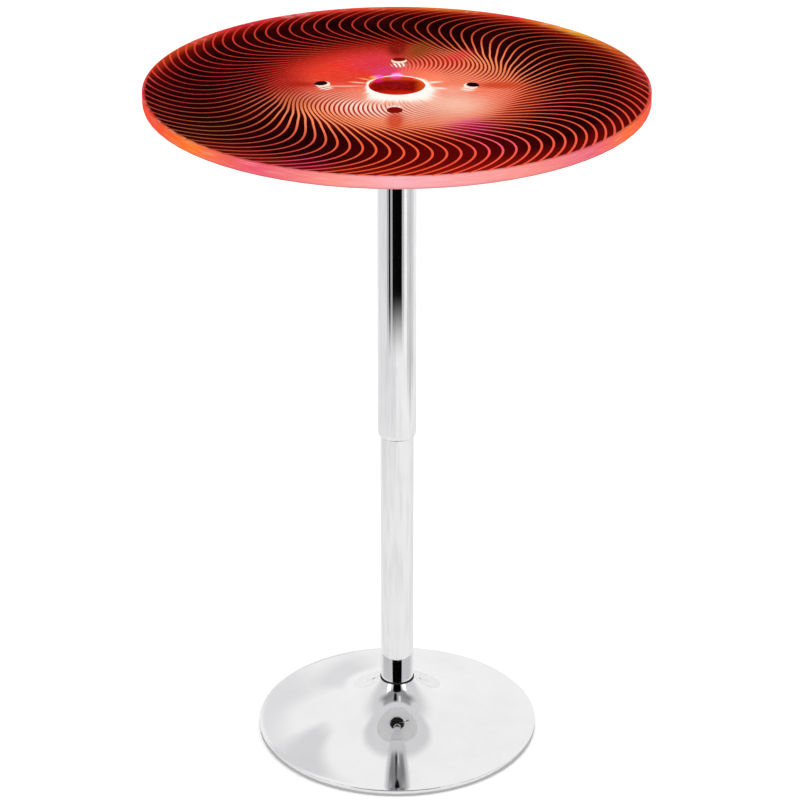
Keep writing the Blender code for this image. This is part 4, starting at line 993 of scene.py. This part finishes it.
def make_base(metal):
    """The trumpet base, with an upright band round its rim."""
    crease = SHELL_RADIUS - SHELL_EDGE
    inner_rim = SHELL_RADIUS - SHELL_WALL
    neck_bore = NECK_RADIUS - SHELL_WALL
    upwards = spread(crease, NECK_RADIUS, SHELL_OUTER_STEPS)
    downwards = spread(NECK_RADIUS, inner_rim, SHELL_INNER_STEPS)
    profile = [(SHELL_RADIUS, RIM_LIFT)]
    band_top = (crease, shell_height(crease) - SHELL_EDGE)
    profile += corner(band_top, SHELL_EDGE, 0, SHELL_EDGE_TURN, SHELL_EDGE_STEPS)
    profile += [(radius, shell_height(radius)) for radius in upwards[1:]]
    profile += [(neck_bore, NECK_HEIGHT), (neck_bore, shell_under(NECK_RADIUS))]
    profile += [(radius, shell_under(radius)) for radius in downwards[1:]]
    profile += [(inner_rim, RIM_LIFT)]
    turned_piece("trumpet_base", profile, SHELL_SEGMENTS, metal, "base", "base_shell")


def make_tubes(metal, plastic):
    """The two tubes of the column, and the sleeve between them."""
    column = [(COLUMN_BORE, COLUMN_BASE), (COLUMN_RADIUS - COLUMN_TAPER, COLUMN_BASE),
              (COLUMN_RADIUS, COLUMN_TAPER_TOP), (COLUMN_RADIUS, COLUMN_TOP), (COLUMN_BORE, COLUMN_TOP)]
    turned_piece("lower_tube", column, TUBE_SEGMENTS, metal, "base", "column_tube")

    cover = [(LIP_BORE, COVER_BASE)]
    for step in range(LIP_STEPS + 1):
        turn = math.pi / 2 * step / LIP_STEPS
        radius = LIP_RADIUS + (COVER_RADIUS - LIP_RADIUS) * math.sin(turn)
        cover.append((radius, COVER_BASE + LIP_RISE * (1 - math.cos(turn))))
    cover += [(COVER_RADIUS, COVER_TOP), (COVER_BORE, COVER_TOP),
              (COVER_BORE, COVER_BASE + LIP_DEPTH), (LIP_BORE, COVER_BASE + LIP_DEPTH)]
    turned_piece("upper_tube", cover, TUBE_SEGMENTS, metal, "lift", "cover_tube")

    low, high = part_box("glide_ring")
    ledge = COVER_BASE + GLIDE_STEP
    glide = [(GLIDE_BORE, low.z), (GLIDE_LOWER_RADIUS, low.z), (GLIDE_LOWER_RADIUS, ledge),
             (GLIDE_UPPER_RADIUS, ledge), (GLIDE_UPPER_RADIUS, high.z), (GLIDE_BORE, high.z)]
    turned_piece("glide_sleeve", glide, TUBE_SEGMENTS, plastic, "lift", "glide_ring")


def make_neck_seal(rubber):
    """A fine ring where the column leaves the shell."""
    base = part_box("neck_ring")[0].z
    bore = COLUMN_RADIUS + SEAL_GAP
    ring = [(bore, base), (bore + SEAL_WALL, base)]
    ring += corner((bore + SEAL_WALL / 2, base + SEAL_HEIGHT), SEAL_WALL / 2, 0, 180, SEAL_STEPS)
    turned_piece("neck_seal", ring, SEAL_SEGMENTS, rubber, "base", "neck_ring")


# Cards
def gloss_card(mesh, made, shade, share, strength=1.0):
    """Puts a card in the scene that glows in one colour and is clear where share is 0."""
    emit = made.new("ShaderNodeEmission")
    emit.inputs[0].default_value = linear(shade)
    emit.inputs[1].default_value = strength
    mixer = made.new("ShaderNodeMixShader")
    clear = made.new("ShaderNodeBsdfTransparent")
    for socket, value in zip(mixer.inputs, (share, clear.outputs[0], emit.outputs[0])):
        made.put(socket, value)
    made.put(made.new("ShaderNodeOutputMaterial").inputs[0], mixer.outputs[0])
    mesh.materials.append(made.owner)
    card = added(mesh.name, mesh)
    for ray in ("camera", "diffuse", "shadow", "transmission"):
        setattr(card, f"visible_{ray}", False)
    return card


def arm(shape, turn, near, far, height):
    """Two points on a line out from the middle."""
    way = (math.cos(turn), math.sin(turn))
    return [shape.verts.new((radius * way[0], radius * way[1], height)) for radius in (near, far)]


def sector(name, near, far, left, right, height, shade, fade):
    """A flat card on the floor. Angles from -Y, in degrees; it fades in over its nearest part."""
    shape = bmesh.new()
    rows = []
    for step in range(SECTOR_STEPS + 1):
        turn = math.radians(-90 + left + (right - left) * step / SECTOR_STEPS)
        rows.append(arm(shape, turn, near, far, height))
    join_rows(shape, rows)
    made = bare_surface(name)
    gloss_card(mesh_of(name, shape), made, shade, made.ramp(made.length, near, near + fade))


def ring_card(name, near, far, height, shade):
    """A flat ring round the underside of the top, soft at its outer edge."""
    shape = bmesh.new()
    rows = [arm(shape, 2 * math.pi * step / RING_STEPS, near, far, 0) for step in range(RING_STEPS)]
    join_rows(shape, rows, closed=True)
    made = bare_surface(name)
    share = made.ramp(made.length, far, (near + far) / 2)
    card = gloss_card(mesh_of(name, shape), made, shade, share)
    card.location = (0, 0, height)


def room(name, start, soft, radius, height, shade):
    """A round wall with a ceiling on the camera's side. Turns from +Y, in degrees."""
    shape = bmesh.new()
    middle = shape.verts.new((0, 0, height))
    rows = []
    for step in range(ROOM_STEPS + 1):
        turn = math.radians(start + (360 - 2 * start) * step / ROOM_STEPS)
        out = (radius * math.sin(turn), radius * math.cos(turn))
        rows.append([shape.verts.new((*out, ROOM_BASE)), shape.verts.new((*out, height)), middle])
    join_rows(shape, rows)
    made = bare_surface(name)
    away = made.math("ABSOLUTE", made.math("ARCTAN2", made.x, made.y))
    share = made.ramp(away, math.radians(start), math.radians(start + soft))
    gloss_card(mesh_of(name, shape), made, shade, share)


def soft_card(name, turn, lift, wide, tall, shade, strength, edge, far):
    """A soft-edged card that faces the table, at a turn from +Y and a lift above the floor."""
    turn, lift = math.radians(turn), math.radians(lift)
    level = math.cos(lift)
    way = Vector((math.sin(turn) * level, math.cos(turn) * level, math.sin(lift)))
    halves = [far * math.tan(math.radians(size / 2)) for size in (wide, tall)]
    made = bare_surface(name)
    shares = []
    for axis, half in zip((made.x, made.y), halves):
        shares.append(made.ramp(made.math("ABSOLUTE", made.math("DIVIDE", axis, half)), 1.0, 1.0 - edge))
    card = gloss_card(flat_mesh(name, *halves), made, shade, made.mul(*shares), strength)
    card.location = way * far + Vector((0, 0, CARD_MIDDLE_LIFT))
    card.rotation_mode = "QUATERNION"
    card.rotation_quaternion = (-way).to_track_quat("Z", "Y")


# World, floor, lamps and camera
def make_world():
    """An even white world, brighter where the camera, a gloss or a clear surface sees it."""
    made = Nodes(bpy.data.worlds.new("studio"))
    bpy.context.scene.world = made.owner
    rays = made.new("ShaderNodeLightPath").outputs
    seen = made.math("MAXIMUM", rays["Is Camera Ray"], rays["Is Glossy Ray"])
    seen = made.math("MAXIMUM", seen, rays["Is Transmission Ray"])
    shade = made.tree.nodes["Background"]
    shade.inputs["Color"].default_value = (1, 1, 1, 1)
    made.put(shade.inputs["Strength"], made.ramp(seen, 0.0, 1.0, WORLD_LIGHT, WORLD_SEEN, "LINEAR"))


def make_floor():
    """A pale floor, which glows a little where the camera or a gloss sees it."""
    made = bare_surface("floor")
    plain = made.new("ShaderNodeBsdfDiffuse")
    plain.inputs[0].default_value = FLOOR_COLOUR
    rays = made.new("ShaderNodeLightPath").outputs
    direct = made.mul(rays["Is Camera Ray"], made.ramp(made.length, *FLOOR_SEEN, "LINEAR"))
    mirrored = made.mul(rays["Is Glossy Ray"], made.ramp(made.length, *FLOOR_MIRRORED, "LINEAR"))
    emit = made.new("ShaderNodeEmission")
    emit.inputs[0].default_value = (1, 1, 1, 1)
    made.put(emit.inputs[1], made.add(mirrored, direct))
    both = made.new("ShaderNodeAddShader")
    made.put(both.inputs[0], plain.outputs[0])
    made.put(both.inputs[1], emit.outputs[0])
    made.put(made.new("ShaderNodeOutputMaterial").inputs[0], both.outputs[0])
    mesh = flat_mesh("floor", FLOOR_SIZE, FLOOR_SIZE)
    mesh.materials.append(made.owner)
    floor = added("floor", mesh)


def area_light(name, place, size, power):
    """A square lamp aimed at the middle of the table."""
    data = bpy.data.lights.new(name, "AREA")
    data.shape = "SQUARE"
    data.size = size
    data.energy = power
    lamp = added(name, data)
    lamp.location = place
    lamp.rotation_mode = "QUATERNION"
    lamp.rotation_quaternion = (LAMP_AIM - Vector(place)).to_track_quat("-Z", "Y")
    lamp.visible_glossy = False


def make_camera():
    """The camera that took the photo."""
    data = bpy.data.cameras.new("camera")
    data.sensor_width = CAMERA_FILM
    data.lens = CAMERA_LENS
    eye = added("camera", data)
    eye.location = CAMERA_PLACE
    eye.rotation_euler = (math.radians(90 - CAMERA_DOWN), 0, 0)
    bpy.context.scene.camera = eye


# Put together
make_camera()
make_world()
make_floor()
for lamp in LAMPS:
    area_light(*lamp)
for card in FLOOR_CARDS:
    sector(*card)
ring_card("over_near", near=0.332, far=0.56, height=0.94, shade=(222, 222, 223))
room("camera_side_room", start=45, soft=40, radius=5.0, height=3.6, shade=(221, 221, 222))
for card in ROUND_CARDS:
    soft_card(*card)

shell_chrome = chrome("shell_chrome", ripple=0.25)
tube_chrome = chrome("tube_chrome", rough=0.03, streak_depth=11)
small_chrome = chrome("small_chrome", (226, 226, 228), rough=0.06)
zinc = satin_steel("zinc", (186, 188, 190))
ground_steel = satin_steel("ground_steel", (164, 165, 170), rough=0.22)
brass = satin_steel("brass_strip", (214, 178, 110), rough=0.24)
black_paint = powder_coat("black_paint", (12, 12, 12))
black_plastic = moulded("black_plastic", (30, 30, 31), rough=0.42)
white_plastic = moulded("white_plastic", (226, 226, 223), rough=0.38, grain=0.15)
rubber = moulded("rubber", (27, 27, 27), rough=0.72, grain=0.5)

make_top(top_face("lit_face"), rim_side("lit_rim"), top_face("lit_under"))
make_lines(engraved("engraved_line"))
make_base(shell_chrome)
make_tubes(tube_chrome, white_plastic)
make_neck_seal(rubber)

# The material of each CAD node that stays
DRESS = (
    (rubber, ["foot_ring", "rod_bumper", "piston_seal"]),
    (zinc, ["hub_socket", "hub_plate", "column_end_plate", "rod_washer", "socket_sleeve",
            "lever_pivot_pin", "valve_pin", "puck_screw_1", "puck_screw_2"]),
    (zinc, numbered("plate_nut", FIXING_COUNT)),
    (ground_steel, ["bearing_lower_race", "bearing_upper_race", "ball_cage", "rod_clip", "cap_spring"]),
    (brass, ["battery_contact_right", "battery_contact_left"]),
    (small_chrome, ["piston_rod", "lift_lever"]),
    (black_paint, ["gas_cylinder", "lever_bracket", "mount_plate"]),
    (black_plastic, ["guide_bush", "rod_guide", "cover_collar", "lever_grip", "puck_base", "tap_switch"]),
    (white_plastic, ["piston"]),
    (backing("backing"), ["backing_sheet"]),
    (lit_case("lit_case"), ["puck_case"]),
    (lamp_board("led_board"), ["led_board"]),
    (lens("lens"), ["lens_cap"]),
    (bolt_head("bolt_heads"), numbered("top_bolt", FIXING_COUNT)),
    (barrel("barrels"), numbered("standoff", FIXING_COUNT)),
    (cell_wrap("cell_wrap"), numbered("battery", CELL_COUNT)),
)
for material, dressed in DRESS:
    for node in dressed:
        slots = nodes[node].data.materials
        slots.clear()
        slots.append(material)

bpy.context.scene.view_settings.view_transform = "Standard"
